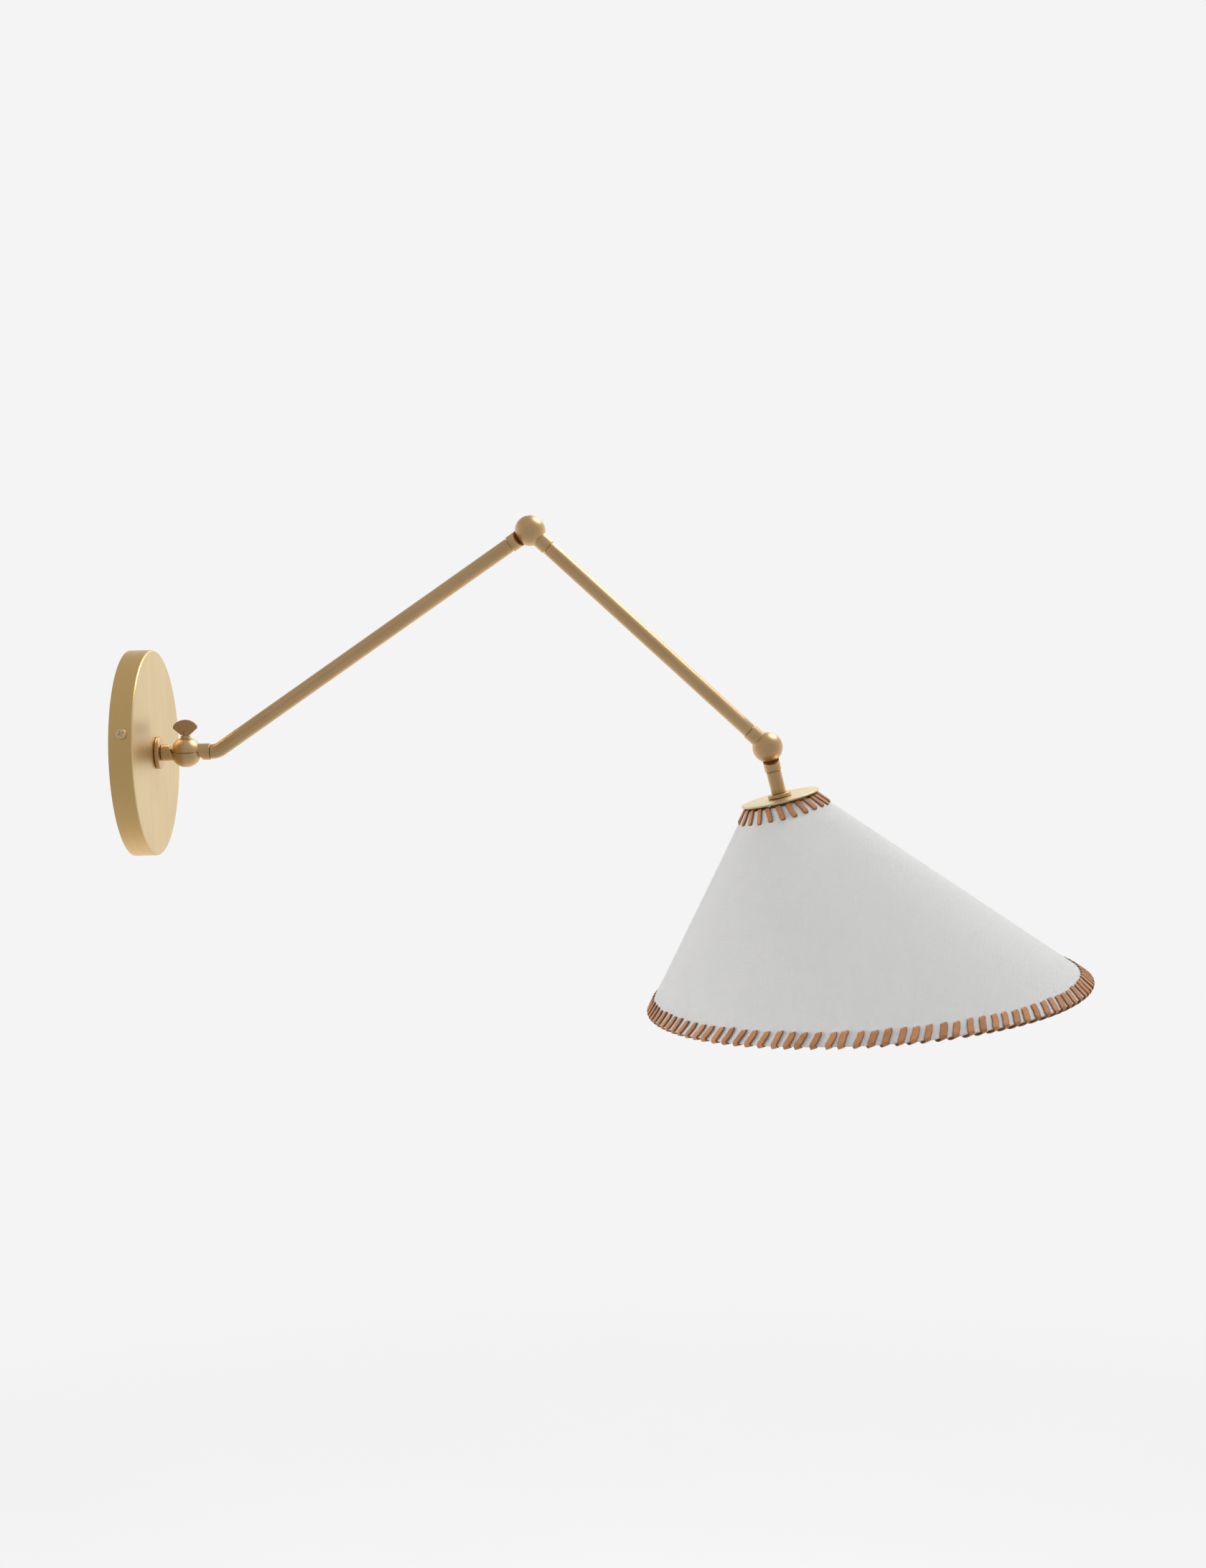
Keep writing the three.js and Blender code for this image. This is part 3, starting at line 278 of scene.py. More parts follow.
def zinc(name, tint=(176, 180, 182), rough=0.38):
    """Zinc plate: faint spangle and dull rubbed patches."""
    n = surface(name)
    place = n.place()
    grey = n.add("RGBToBW", {"Color": n.voronoi(place, 330.0, "Color")}).outputs[0]
    cloud = n.noise(place, 90.0, 4.0)
    base = n.mix(n.fit(grey, 0.2, 0.8, 0.0, 0.5), rgb(*tint), toned(tint, 0.84))
    base = n.mix(n.fit(cloud, 0.55, 0.8, 0.0, 0.35), base, rgb(140, 138, 128))
    n.set(Base_Color=base, Metallic=1.0, Roughness=n.fit(cloud, 0.3, 0.7, rough - 0.06, rough + 0.12))
    n.bump(cloud, 0.1, 0.0002)
    return n.owner


def moulded(name, colour, rough):
    """Moulded plastic or phenolic: fine orange-peel and slight mottling."""
    n = surface(name)
    place = n.place()
    cloud = n.noise(place, 110.0, 4.0)
    base = n.mix(n.fit(cloud, 0.3, 0.7), rgb(*colour), toned(colour, 0.88))
    n.set(Base_Color=base, Roughness=n.fit(cloud, 0.3, 0.7, rough - 0.05, rough + 0.07))
    n.bump(n.noise(place, 900.0, 2.0), 0.12, 0.0001)
    return n.owner


def linen_cloth():
    """Off-white linen: two sets of uneven threads in the flat cut's own coordinates, with slubs."""
    n = surface("linen_cloth")
    cloth = n.attribute("cloth")
    weave = {"Vector": cloth, "Scale": 0.95, "Distortion": 1.2, "Detail": 2.0, "Detail Scale": 0.6}
    directions = (("X", (0.035, 2.3, 1.0), (0.06, 0.95, 1.0)), ("Y", (2.1, 0.035, 1.0), (0.9, 0.05, 1.0)))
    waves, yarns, thick = [], [], []
    for direction, yarn_scale, slub_scale in directions:
        yarn = n.noise(cloth, yarn_scale, 4.0, 0.6)
        bands = n.add("TexWave", weave, wave_type="BANDS", bands_direction=direction).outputs["Fac"]
        waves.append(n.times(bands, n.fit(yarn, 0.25, 0.75, 0.5, 1.1)))
        yarns.append(yarn)
        thick.append(n.fit(n.noise(cloth, slub_scale, 2.0), 0.6, 0.78))
    threads, slubs = n.math("MAXIMUM", *waves), n.plus(*thick)
    blotch = n.noise(cloth, (0.02, 0.02, 1.0))
    base = n.mix(n.fit(threads, 0.2, 0.9, 0.6, 0.0), rgb(250, 250, 249), rgb(226, 225, 221))
    base = n.mix(n.times(slubs, 0.5), base, rgb(254, 254, 252))
    base = n.mix(n.fit(blotch, 0.4, 0.7, 0.0, 0.1), base, rgb(232, 231, 226))
    n.set(Base_Color=base, Roughness=0.86, Specular_IOR_Level=0.25, Sheen_Weight=0.25, Sheen_Roughness=0.45)
    height = n.plus(n.times(threads, 0.55), n.times(slubs, 0.6))
    for yarn in yarns:
        height = n.plus(height, n.times(yarn, 0.5))
    n.bump(height, 0.8, 0.0005)
    return n.owner


def lace_leather():
    """Tan leather lace: cut edges darker, hide grain, colour from strap to strap, and painted shade where it
    comes out of its hole.
    """
    n = surface("lace_leather")
    across, along, tint = n.xyz(n.attribute("lace"))
    place = n.place()
    cloud = n.noise(place, 260.0, 4.0, 0.6)
    fibre = n.noise(place, 900.0, 3.0, 0.6)
    edge = n.fit(n.plus(n.math("ABSOLUTE", across), n.fit(fibre, 0.3, 0.7, -0.08, 0.08)), 0.78, 0.97)
    # painted shade: each strap is darkened over its first millimetre, where it comes out of its hole
    tip = n.fit(along, 0.2, 1.3, 1.0, 0.0)
    base = n.mix(tint, rgb(196, 136, 88), rgb(170, 113, 70))
    base = n.mix(n.fit(cloud, 0.35, 0.7, 0.0, 0.45), base, rgb(206, 150, 104))
    base = n.mix(n.times(edge, 0.75), base, rgb(104, 60, 34))
    base = n.mix(n.times(tip, 0.8), base, rgb(78, 46, 30))
    n.set(Base_Color=base, Roughness=n.fit(cloud, 0.3, 0.7, 0.52, 0.7), Specular_IOR_Level=0.35)
    n.bump(n.plus(n.fit(n.voronoi(place, 2100.0), 0.0, 0.5), n.times(fibre, 0.5)), 0.3, 0.0002)
    return n.owner


def red_fibre():
    """Pressed fibre board of the friction washers."""
    n = surface("red_fibre")
    cloud = n.noise(n.place(), 420.0, 5.0, 0.6)
    colour = (118, 54, 42)
    base = n.mix(n.fit(cloud, 0.3, 0.7, 0.0, 0.6), rgb(*colour), toned(colour, 0.72))
    n.set(Base_Color=base, Roughness=0.8)
    n.bump(cloud, 0.25, 0.0002)
    return n.owner


def styrene():
    """White styrene backing: smooth and slightly translucent, with faint roller lines."""
    n = surface("styrene_backing")
    lines = n.noise(n.attribute("cloth"), (0.01, 0.5, 1.0))
    n.set(Base_Color=n.mix(n.fit(lines, 0.3, 0.7), rgb(239, 238, 233), rgb(235, 233, 228)),
          Roughness=n.fit(lines, 0.3, 0.7, 0.48, 0.6), Subsurface_Weight=0.05, Subsurface_Scale=0.004)
    n.bump(lines, 0.02, 0.0002)
    return n.owner


def frosted():
    """Frosted bulb: white inner coat behind clear glass, with a faint mottle."""
    n = surface("frosted_bulb")
    place = n.place()
    cloud, powder = n.noise(place, 130.0, 4.0), n.noise(place, 1600.0, 2.0)
    n.set(Base_Color=n.mix(n.fit(cloud, 0.3, 0.7), rgb(245, 244, 240), rgb(236, 235, 229)),
          Roughness=n.fit(powder, 0.3, 0.7, 0.3, 0.42), Coat_Weight=0.6, Coat_Roughness=0.06,
          Subsurface_Weight=0.15, Subsurface_Scale=0.006)
    n.bump(powder, 0.05, 0.0001)
    return n.owner


# Each finish is a material and a slot name; the pieces take the material, and the slot name is not used.
SATIN = brass("satin_brass", (221, 186, 138), (198, 161, 116), 0.38, 0.5, 0.5, 0.25), "brushed_brass"
# Paler than the satin brass: painted sheen for the canopy face seen at a grazing angle, with a deeper painted
# side tone on its side wall.
PALE = (brass("pale_satin_brass", (224, 200, 150), (210, 184, 133), 0.4, 0.6, 0.45, 0, (226, 188, 124)),
        "pale_brass")
# Lighter than the satin brass: painted sheen for the cap disc seen at a grazing angle.
CAP = brass("spun_cap_brass", (228, 208, 164), (212, 190, 144), 0.36, 0.6, 0.45), "pale_brass"
SCREWS = brass("bright_screw_brass", (236, 214, 164), (214, 188, 136), 0.3, 0.3, 0.4), "brushed_brass"
# Darker than the satin brass: painted shade on the thumb screw's wing, which is also a little rougher.
THUMB = brass("dull_shaded_brass", (208, 170, 124), (180, 142, 100), 0.42, 0.4, 0.6, 0.25), "brushed_brass"
ZINC = zinc("zinc_plate"), "zinc_steel"
RINGS = zinc("white_enamelled_wire", (214, 212, 206), 0.45), "zinc_steel"
GREEN_SCREW = zinc("green_ground_screw", (52, 128, 74), 0.42), "green_steel"
ALUMINIUM = zinc("rolled_aluminium", (205, 206, 206), 0.3), "aluminium"
PHENOLIC = moulded("black_phenolic", (34, 32, 31), 0.4), "phenolic"
ORANGE = moulded("orange_connector", (214, 122, 48), 0.45), "connector_plastic"
WHITE_PVC = moulded("white_wire_jacket", (228, 226, 219), 0.42), "white_jacket"
BLACK_PVC = moulded("black_wire_jacket", (30, 30, 31), 0.42), "black_jacket"
GREEN_PVC = moulded("green_wire_jacket", (42, 132, 66), 0.42), "green_jacket"
LINEN = linen_cloth(), "linen"
LEATHER = lace_leather(), "leather"
LINER = styrene(), "styrene_liner"
GLASS = frosted(), "frosted_glass"


# ---- outlines


def disc(radius, low, high):
    """Outline of a plain rod or disc for lathe()."""
    return [(0, low), (radius, low), (radius, high), (0, high)]


def hoop(bore, radius, low, high):
    """Outline of a plain washer or sleeve for lathe()."""
    return [(bore, low), (radius, low), (radius, high), (bore, high), (bore, low)]


def arc(centre_r, centre_h, radius, start, end, steps):
    turns = [math.radians(start + (end - start) * i / steps) for i in range(steps + 1)]
    return [(centre_r + radius * math.cos(a), centre_h + radius * math.sin(a)) for a in turns]


def rungs(r, low, high, step):
    """Points up a straight run, close enough together to carry a thread."""
    count = max(2, round((high - low) / step))
    return [(r, low + (high - low) * i / count) for i in range(count + 1)]


def bezier(a, b, c, shares):
    return [a * (1 - t) ** 2 + b * 2 * t * (1 - t) + c * t * t for t in shares]


def soften(points, radius, steps, closed):
    """Rounds an outline's corners. Points on the axis stay as they are."""
    count = len(points)
    out = []
    for i, p in enumerate(points):
        if (not closed and i in (0, count - 1)) or p.x < 1e-6:
            out.append(p)
            continue
        before, after = points[i - 1] - p, points[(i + 1) % count] - p
        a, b = before.length, after.length
        if a < 1e-6 or b < 1e-6:
            continue
        before, after = before / a, after / b
        turn = math.pi - before.angle(after)
        if turn < math.radians(20):
            out.append(p)
            continue
        back = min(radius * math.tan(turn / 2), 0.42 * a, 0.42 * b)
        out += bezier(p + before * back, p, p + after * back, [k / steps for k in range(steps + 1)])
    return out


def supported(points, closed):
    """Extra points near the ends of long straight runs, so smooth shading stays flat between them."""
    out, count = [], len(points)
    for i, p in enumerate(points):
        out.append(p)
        if i == count - 1 and not closed:
            break
        q = points[(i + 1) % count]
        run = (q - p).length
        if run > 1.0:
            out += [p + (q - p) * (0.2 / run), q - (q - p) * (0.2 / run)]
    return out


def threaded(depth, pitch, low, high, outer):
    """Wave for lathe(): a helical thread on the points at radius outer between two heights."""

    def wave(r, z, a):
        if abs(r - outer) > 1e-4 or not low <= z <= high:
            return r
        phase = (z / pitch - a / TAU) % 1.0
        fade = min(1.0, (z - low) / pitch, (high - z) / pitch)
        return r - depth * fade * (0.5 - 0.5 * math.cos(TAU * phase))

    return wave


# ---- mesh helpers


def mesh_of(bm):
    me = bpy.data.meshes.new("part")
    bm.to_mesh(me)
    bm.free()
    return me


def vector_layer(me, name, values):
    layer = me.attributes.new(name, "FLOAT_VECTOR", "POINT")
    layer.data.foreach_set("vector", np.array(values, np.float32).ravel())


def lathe(outline, steps=96, radius=0.25, wave=None, round_steps=4):
    """Body of revolution about Z. The outline of (radius, height) is counter-clockwise, and closed on
    itself if its ends meet off the axis. wave(r, z, angle) may give another radius."""
    pts = [Vector(p) for p in outline]
    closed = pts[0].x > 1e-6
    if closed and (pts[0] - pts[-1]).length < 1e-6:
        pts = pts[:-1]
    if radius:
        pts = soften(pts, radius, round_steps, closed)
    pts = supported(pts, closed)
    bm = bmesh.new()
    rows = []
    for p in pts:
        if p.x < 1e-6:
            rows.append([bm.verts.new((0, 0, p.y))] * steps)
            continue
        row = []
        for i in range(steps):
            a = TAU * i / steps
            r = wave(p.x, p.y, a) if wave else p.x
            row.append(bm.verts.new((r * math.cos(a), r * math.sin(a), p.y)))
        rows.append(row)
    for low, high in list(zip(rows, rows[1:])) + ([(rows[-1], rows[0])] if closed else []):
        for i in range(steps):
            j = (i + 1) % steps
            corners = list(dict.fromkeys((low[i], low[j], high[j], high[i])))
            if len(corners) > 2:
                bm.faces.new(corners)
    return mesh_of(bm)


def direction(points, i):
    """Which way a line of points runs at one of them."""
    return (points[min(i + 1, len(points) - 1)] - points[max(i - 1, 0)]).normalized()


def distances(points):
    """How far along a line each of its points is."""
    along = [0.0]
    for a, b in zip(points, points[1:]):
        along.append(along[-1] + (b - a).length)
    return along


def circle(centre, side, up, radius, sides):
    turns = [TAU * k / sides for k in range(sides)]
    return [centre + (side * math.cos(a) + up * math.sin(a)) * radius for a in turns]


def skin(rows, closed):
    """Closed shell over rings of points. The last ring joins the first, or both are capped."""
    bm = bmesh.new()
    rows = [[bm.verts.new(p) for p in row] for row in rows]
    for a, b in zip(rows, rows[1:] + rows[:1] if closed else rows[1:]):
        for k in range(len(a)):
            j = (k + 1) % len(a)
            bm.faces.new((a[k], a[j], b[j], b[k]))
    if closed:
        bmesh.ops.recalc_face_normals(bm, faces=bm.faces[:])
    else:
        bm.faces.new(rows[0][::-1])
        bm.faces.new(rows[-1])
    return mesh_of(bm)


def rod_along(points, radius, sides=24):
    rows, side = [], direction(points, 0).orthogonal().normalized()
    for i, p in enumerate(points):
        t = direction(points, i)
        side = (side - t * side.dot(t)).normalized()
        rows.append(circle(p, side, t.cross(side), radius, sides))
    return skin(rows, False)


def closed_rod(points, radius, sides=20):
    rows, count = [], len(points)
    for i, p in enumerate(points):
        t = (points[(i + 1) % count] - points[i - 1]).normalized()
        side = (Z - t * Z.dot(t)).normalized()
        rows.append(circle(p, side, t.cross(side), radius, sides))
    return skin(rows, True)


def moved(me, matrix):
    me = me.copy()
    me.transform(matrix)
    return me


def boxed(size, centre, bevel=0.0):
    bm = bmesh.new()
    bmesh.ops.create_cube(bm, size=1.0)
    bmesh.ops.scale(bm, vec=size, verts=bm.verts)
    bmesh.ops.translate(bm, vec=centre, verts=bm.verts)
    if bevel:
        bmesh.ops.bevel(bm, geom=bm.edges[:], offset=bevel, segments=3, affect="EDGES")
    return mesh_of(bm)


def plate(outline, low, high, bevel=0.2, steps=3):
    """Flat plate in XY from low to high, its rims rounded. The outline is counter-clockwise."""
    bm = bmesh.new()
    verts = [bm.verts.new((x, y, low)) for x, y in outline]
    base = bm.faces.new(verts[::-1])
    made = bmesh.ops.extrude_face_region(bm, geom=[base])
    top = [v for v in made["geom"] if isinstance(v, bmesh.types.BMVert)]
    bmesh.ops.translate(bm, vec=(0, 0, high - low), verts=top)
    bmesh.ops.recalc_face_normals(bm, faces=bm.faces[:])
    if bevel:
        rim = [e for e in bm.edges if abs(e.verts[0].co.z - e.verts[1].co.z) < 1e-6]
        bmesh.ops.bevel(bm, geom=rim, offset=bevel, segments=steps, affect="EDGES", profile=0.6)
    return mesh_of(bm)


def evaluated_mesh(obj):
    bpy.context.view_layer.update()
    return bpy.data.meshes.new_from_object(obj.evaluated_get(bpy.context.evaluated_depsgraph_get()))


def boolean(base, operation, *tools):
    """base joined with, cut by or kept inside each tool in turn, exactly."""
    scene = bpy.context.scene.collection
    for tool in tools:
        a, b = bpy.data.objects.new("a", base), bpy.data.objects.new("b", tool)
        scene.objects.link(a)
        scene.objects.link(b)
        m = a.modifiers.new("cut", "BOOLEAN")
        m.operation, m.object, m.solver = operation, b, "EXACT"
        base = evaluated_mesh(a)
        bpy.data.objects.remove(a)
        bpy.data.objects.remove(b)
    return base


def cut(base, *tools):
    return boolean(base, "DIFFERENCE", *tools)


def union(base, *tools):
    return boolean(base, "UNION", *tools)


def cleaned(me):
    """Takes out the doubled points and slivers that exact cuts leave."""
    bm = bmesh.new()
    bm.from_mesh(me)
    bmesh.ops.remove_doubles(bm, verts=bm.verts, dist=0.0008)
    bmesh.ops.dissolve_degenerate(bm, edges=bm.edges, dist=0.0005)
    bmesh.ops.triangulate(bm, faces=[f for f in bm.faces if len(f.verts) > 4])
    bm.to_mesh(me)
    bm.free()
    return me


def weigh(obj):
    """Weights the normals by face size, so that thin faces beside a cut don't show."""
    m = obj.modifiers.new("weigh", "WEIGHTED_NORMAL")
    m.keep_sharp, m.weight = True, 50
    me = evaluated_mesh(obj)
    obj.modifiers.clear()
    old, obj.data = obj.data, me
    me.name = obj.name
    bpy.data.meshes.remove(old)


def turned_grain(p):
    """Brush marks of a turned piece: a place in noise space for a point in the piece's own frame."""
    return (0.004 * p.x, 0.004 * p.y, 0.8 * (0.8 * p.z + math.hypot(p.x, p.y)))


def build(name, node, me, matrix, body, finish, grain=None, sharp=32, weighted=False):
    """Puts a millimetre mesh in its place as a named piece on a body, instead of a CAD node."""
    material, slot = finish
    if grain:
        vector_layer(me, "grain", [grain(v.co) for v in me.vertices])
    me.name = name
    me.transform(matrix)
    if matrix.determinant() < 0:
        me.flip_normals()
    me.materials.clear()
    me.materials.append(material)
    me.polygons.foreach_set("material_index", [0] * len(me.polygons))
    me.shade_smooth()
    me.set_sharp_from_angle(angle=math.radians(sharp))
    me.validate()
    me.update()
    obj = bpy.data.objects.new(name, me)
    bpy.context.scene.collection.objects.link(obj)
    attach(obj, body)
    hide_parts(node)
    if weighted:
        weigh(obj)
    return obj


# ---- swivels

ALONG_X = Matrix.Rotation(math.pi / 2, 4, "Y")


def ball_outline(pole):
    """Half a hollow ball above the middle plane, with a post for the pivot. Its pole is closed, has a
    pocket for a screw's head, or has a boss for the thumb screw."""
    middle, post_top = GAP / 2, POST_TOP + GAP
    start = math.degrees(math.asin(middle / BALL_R))
    inside = [(PIVOT_HOLE, post_top), (POST_R, post_top), (POST_R, CAVITY_DEPTH), (CAVITY_R, CAVITY_DEPTH),
              (CAVITY_R, middle)]
    if pole == "blind":
        dome = arc(0, 0, BALL_R, start, 90, 22)[:-1] + [(0, BALL_R)]
        return [(0, BLIND_FLOOR), (PIVOT_HOLE, BLIND_FLOOR)] + inside + dome
    opening = POCKET_R if pole == "pocket" else BOSS_R
    outside = arc(0, 0, BALL_R, start, math.degrees(math.acos(opening / BALL_R)), 20)
    if pole == "pocket":
        return inside + outside + [(POCKET_R, POCKET_FLOOR), (PIVOT_HOLE, POCKET_FLOOR), inside[0]]
    top = BALL_R + BOSS_PROUD
    return inside + outside + [(BOSS_R - 0.12, top - 0.35), (BOSS_R - 0.4, top), (PIVOT_HOLE, top), inside[0]]


def swivel(name, at, pivot, toward, body, pole, spigot=0.0):
    """Half of a ball with its knuckle along +X and its pivot along Z. The knuckle ends in a spigot for a
    tube, or without one in a hole for the nipple."""
    middle, root, clear = GAP / 2, CAVITY_R + GAP, BALL_R + GAP
    outline = [(0, root), (KNUCKLE_R, root), (KNUCKLE_R, REACH - 0.45), (KNUCKLE_R - 0.12, REACH - 0.15),
               (KNUCKLE_R - 0.45, REACH), (0, REACH)]
    knuckle = moved(lathe(outline, 72, 0.1, round_steps=2), ALONG_X)
    other_half = lathe([(0, -clear)] + arc(0, 0, clear, -88, -1, 24) + [(clear, middle), (0, middle)], 112, 0)
    start, deep = math.sqrt(BALL_R ** 2 - KNUCKLE_R ** 2) + GAP, 2 * KNUCKLE_R
    relief = plate([(0, -middle), (start, -middle), (start + RELIEF * deep, deep), (0, deep)], -deep, deep, 0)
    relief.transform(Matrix.Rotation(-math.pi / 2, 4, "X"))
    ball = lathe(ball_outline(pole), 112, 0.22, round_steps=3)
    me = union(ball, cut(knuckle, other_half, relief))
    if spigot:
        me = union(me, moved(lathe(disc(SPIGOT_R, REACH - 1, REACH + spigot), 48, 0.3), ALONG_X))
    else:
        me = cut(me, moved(lathe(disc(NIPPLE_HOLE, BALL_R + 0.5, REACH + 1), 48, 0), ALONG_X))
    me = cut(me, moved(lathe(disc(NIPPLE_BORE, CAVITY_R - 1, REACH + spigot + 1), 32, 0), ALONG_X))
    build(name + "_ball", name, cleaned(me), placed(at, pivot, toward), body, SATIN, turned_grain, 30, True)


def pivot_screw(name, at, pivot, toward, body):
    thread_low, thread_high = PIVOT_TIP + 0.3, 0.2
    outline = [(0, PIVOT_TIP), (PIVOT_R - 0.3, PIVOT_TIP)] + rungs(PIVOT_R, thread_low, thread_high, 0.12)
    r, top = PIVOT_HEAD_R, PIVOT_HEAD_HIGH
    outline += [(PIVOT_R, PIVOT_HEAD_LOW), (r, PIVOT_HEAD_LOW), (r, top - 0.55), (r - 0.3, top - 0.1),
                (r - 0.6, top), (0, top)]
    me = lathe(outline, 64, 0.1, threaded(0.25, 0.7, thread_low, thread_high, PIVOT_R), 2)
    me = cleaned(cut(me, boxed((14, 1.0, 2.0), (0, 0, top))))
    build(name + "_turned", name, me, placed(at, pivot, toward), body, SATIN, turned_grain, weighted=True)


swivel("base_swivel_lower", BASE, -Z, -X, "wall_mount", "blind")
swivel("base_swivel_upper", BASE, Z, X, "lower_arm", "boss", 2.4)
swivel("elbow_swivel_far", ELBOW, Y, -LOWER_DIR, "lower_arm", "pocket", 6)
swivel("elbow_swivel_near", ELBOW, -Y, UPPER_DIR, "upper_arm", "blind", 6)
swivel("head_swivel_near", HEAD, -Y, -UPPER_DIR, "upper_arm", "blind", 6)
swivel("head_swivel_far", HEAD, Y, -STEM_UP, "lamp_head", "pocket", 6)
pivot_screw("elbow_pivot_screw", ELBOW, Y, UPPER_DIR, "upper_arm")
pivot_screw("head_pivot_screw", HEAD, Y, -UPPER_DIR, "upper_arm")


# ---- thumb screw


def thumb_screw():
    """Spade-shaped wing on a plain shank, which stands on the base ball's boss."""
    foot = BALL_R + BOSS_PROUD + GAP
    half_foot, half_wing, shoulder, height = 3.05, 8.25, 4.6, 10.4
    right = [(half_foot, 0), (half_wing - 0.25, shoulder - 0.2)]
    for pull, end, steps in (
        ((half_wing, shoulder + 0.1), (half_wing, shoulder + 0.7), 5),
        ((half_wing, shoulder + 1.9), (half_wing * 0.78, height * 0.8), 9),
        ((half_wing * 0.42, height), (0, height), 12),
    ):
        shares = [k / steps for k in range(1, steps + 1)]
        right += [tuple(p) for p in bezier(Vector(right[-1]), Vector(pull), Vector(end), shares)]
    left = [(-x, y) for x, y in right[:-1]][::-1]
    wing = plate(right + left, -1.2, 1.2, 0.34, 4)
    wing.transform(Matrix.Translation((0, 0, foot)) @ Matrix.Rotation(math.pi / 2, 4, "X"))
    shank_r, tip, top = 1.9, -6.2, foot + 2.3
    shank = lathe([(0, tip), (shank_r - 0.4, tip), (shank_r, tip + 0.4), (shank_r, top), (0, top)], 48, 0.1)
    me = cleaned(union(wing, shank))
    build("thumb_screw_wing", "thumb_screw", me, placed(BASE, Z, X), "thumb_screw_body", THUMB,
          lambda p: (1.1 * p.x, 1.1 * p.y, 0.004 * p.z), weighted=True)


thumb_screw()


# ---- tubes


def bent_line(short_by):
    """The lower arm's centre line from the base ball, in the row frame (mm)."""
    turn_at = BASE + X * (corner - BEND_R * math.tan(RISE / 2))
    start, end = BASE + X * short_by, ELBOW - LOWER_DIR * short_by
    turns = [RISE * i / 14 for i in range(15)]
    bend = [turn_at + Z * BEND_R + Vector((math.sin(a), 0, -math.cos(a))) * BEND_R for a in turns]
    return [start, start + X * (turn_at - start).length * 0.5] + bend + [
        bend[-1] + (end - bend[-1]) * (k / 24) for k in range(1, 25)]


def straight(a, b, step=9.0):
    count = max(3, round((b - a).length / step))
    return [a.lerp(b, i / count) for i in range(count + 1)]


def upper_line(short_by):
    return straight(ELBOW + UPPER_DIR * short_by, HEAD - UPPER_DIR * short_by)


def hollow_tube(points, sides=64, edge=0.2):
    """Open-ended tube with softly broken ends. Its grain runs along it."""
    profile = [(BORE_R + edge * 0.5, 0), (BORE_R + 0.3, 0), (TUBE_R - edge, 0),
               (TUBE_R - edge * 0.3, edge * 0.3), (TUBE_R, edge)]
    last, along = len(points) - 1, distances(points)
    ahead, back = direction(points, 0), direction(points, last)
    stations = [(points[0] + ahead * d, ahead, r, d) for r, d in profile]
    stations += [(points[i], direction(points, i), TUBE_R, along[i]) for i in range(1, last)]
    stations += [(points[-1] - back * d, back, r, along[-1] - d) for r, d in profile[::-1]]
    stations += [(points[i], direction(points, i), BORE_R, along[i]) for i in range(last - 1, 0, -1)]
    me = skin([circle(p, Y, t.cross(Y).normalized(), r, sides) for p, t, r, _ in stations], True)
    turns = [TAU * k / sides for k in range(sides)]
    vector_layer(me, "grain", [(0.003 * s, 0.4 * r * math.cos(a), 0.4 * r * math.sin(a))
                               for _, _, r, s in stations for a in turns])
    return me


arm_lines = {"lower_arm": bent_line, "upper_arm": upper_line}
for arm, line in arm_lines.items():
    build(arm + "_drawn_tube", arm + "_tube", hollow_tube(line(TUBE_START)), PLAIN, arm, SATIN)
stem_line = straight(HEAD - STEM_UP * TUBE_START, HEAD - STEM_UP * STEM_END, 4.0)
build("stem_drawn_tube", "stem_tube", hollow_tube(stem_line), PLAIN, "lamp_head", SATIN)
for arm, line in arm_lines.items():
    wire = rod_along(line(BALL_R + GAP), WIRE_R, 20)
    build(arm + "_inner_wire", arm + "_wire", wire, PLAIN, arm, WHITE_PVC)


# ---- canopy


def on_wall(name, node, me, finish, grain=None, matrix=ON_WALL, sharp=32, weighted=False):
    build(name, node, me, matrix, "wall_mount", finish, grain, sharp, weighted)


def rod_tool(radius, half, turn_axis=None):
    rod = lathe(disc(radius, -half, half), 48, 0)
    if turn_axis:
        rod.transform(Matrix.Rotation(math.pi / 2, 4, turn_axis))
    return rod


def canopy():
    """Spun dish with a rolled front edge, drilled across for its two side screws."""
    inner_r, inner_face = CANOPY_R - CANOPY_WALL, CANOPY_DEPTH - CANOPY_WALL
    outline = [(inner_r, 0), (CANOPY_R, 0)] + rungs(CANOPY_R, 2, CANOPY_DEPTH - CANOPY_EDGE, 3)[:-1]
    outline += arc(CANOPY_R - CANOPY_EDGE, CANOPY_DEPTH - CANOPY_EDGE, CANOPY_EDGE, 0, 90, 8)
    outline += [(r, CANOPY_DEPTH) for r in (66, 55, 40, 25, 14, NIPPLE_HOLE)]
    outline += [(r, inner_face) for r in (NIPPLE_HOLE, 14, 40, 66, inner_r)] + [(inner_r, 0)]
    to_mm = Matrix.Scale(1000, 4)
    drill = rod_tool(SCREW_HOLE, 90)
    drill.transform((to_mm @ ON_WALL).inverted() @ (to_mm @ placed(X * SCREW_X, SCREW_LINE, X)))
    me = cleaned(cut(lathe(outline, 192, 0.15), drill))

    def grain(p):
        if p.z > CANOPY_DEPTH - 0.3:
            return (0.002 * p.x, 0.9 * p.y, 0.9 * p.z)
        return (0.002 * p.x, 0.002 * p.y, 0.9 * p.z)

    on_wall("canopy_dish", "canopy", me, PALE, grain, weighted=True)


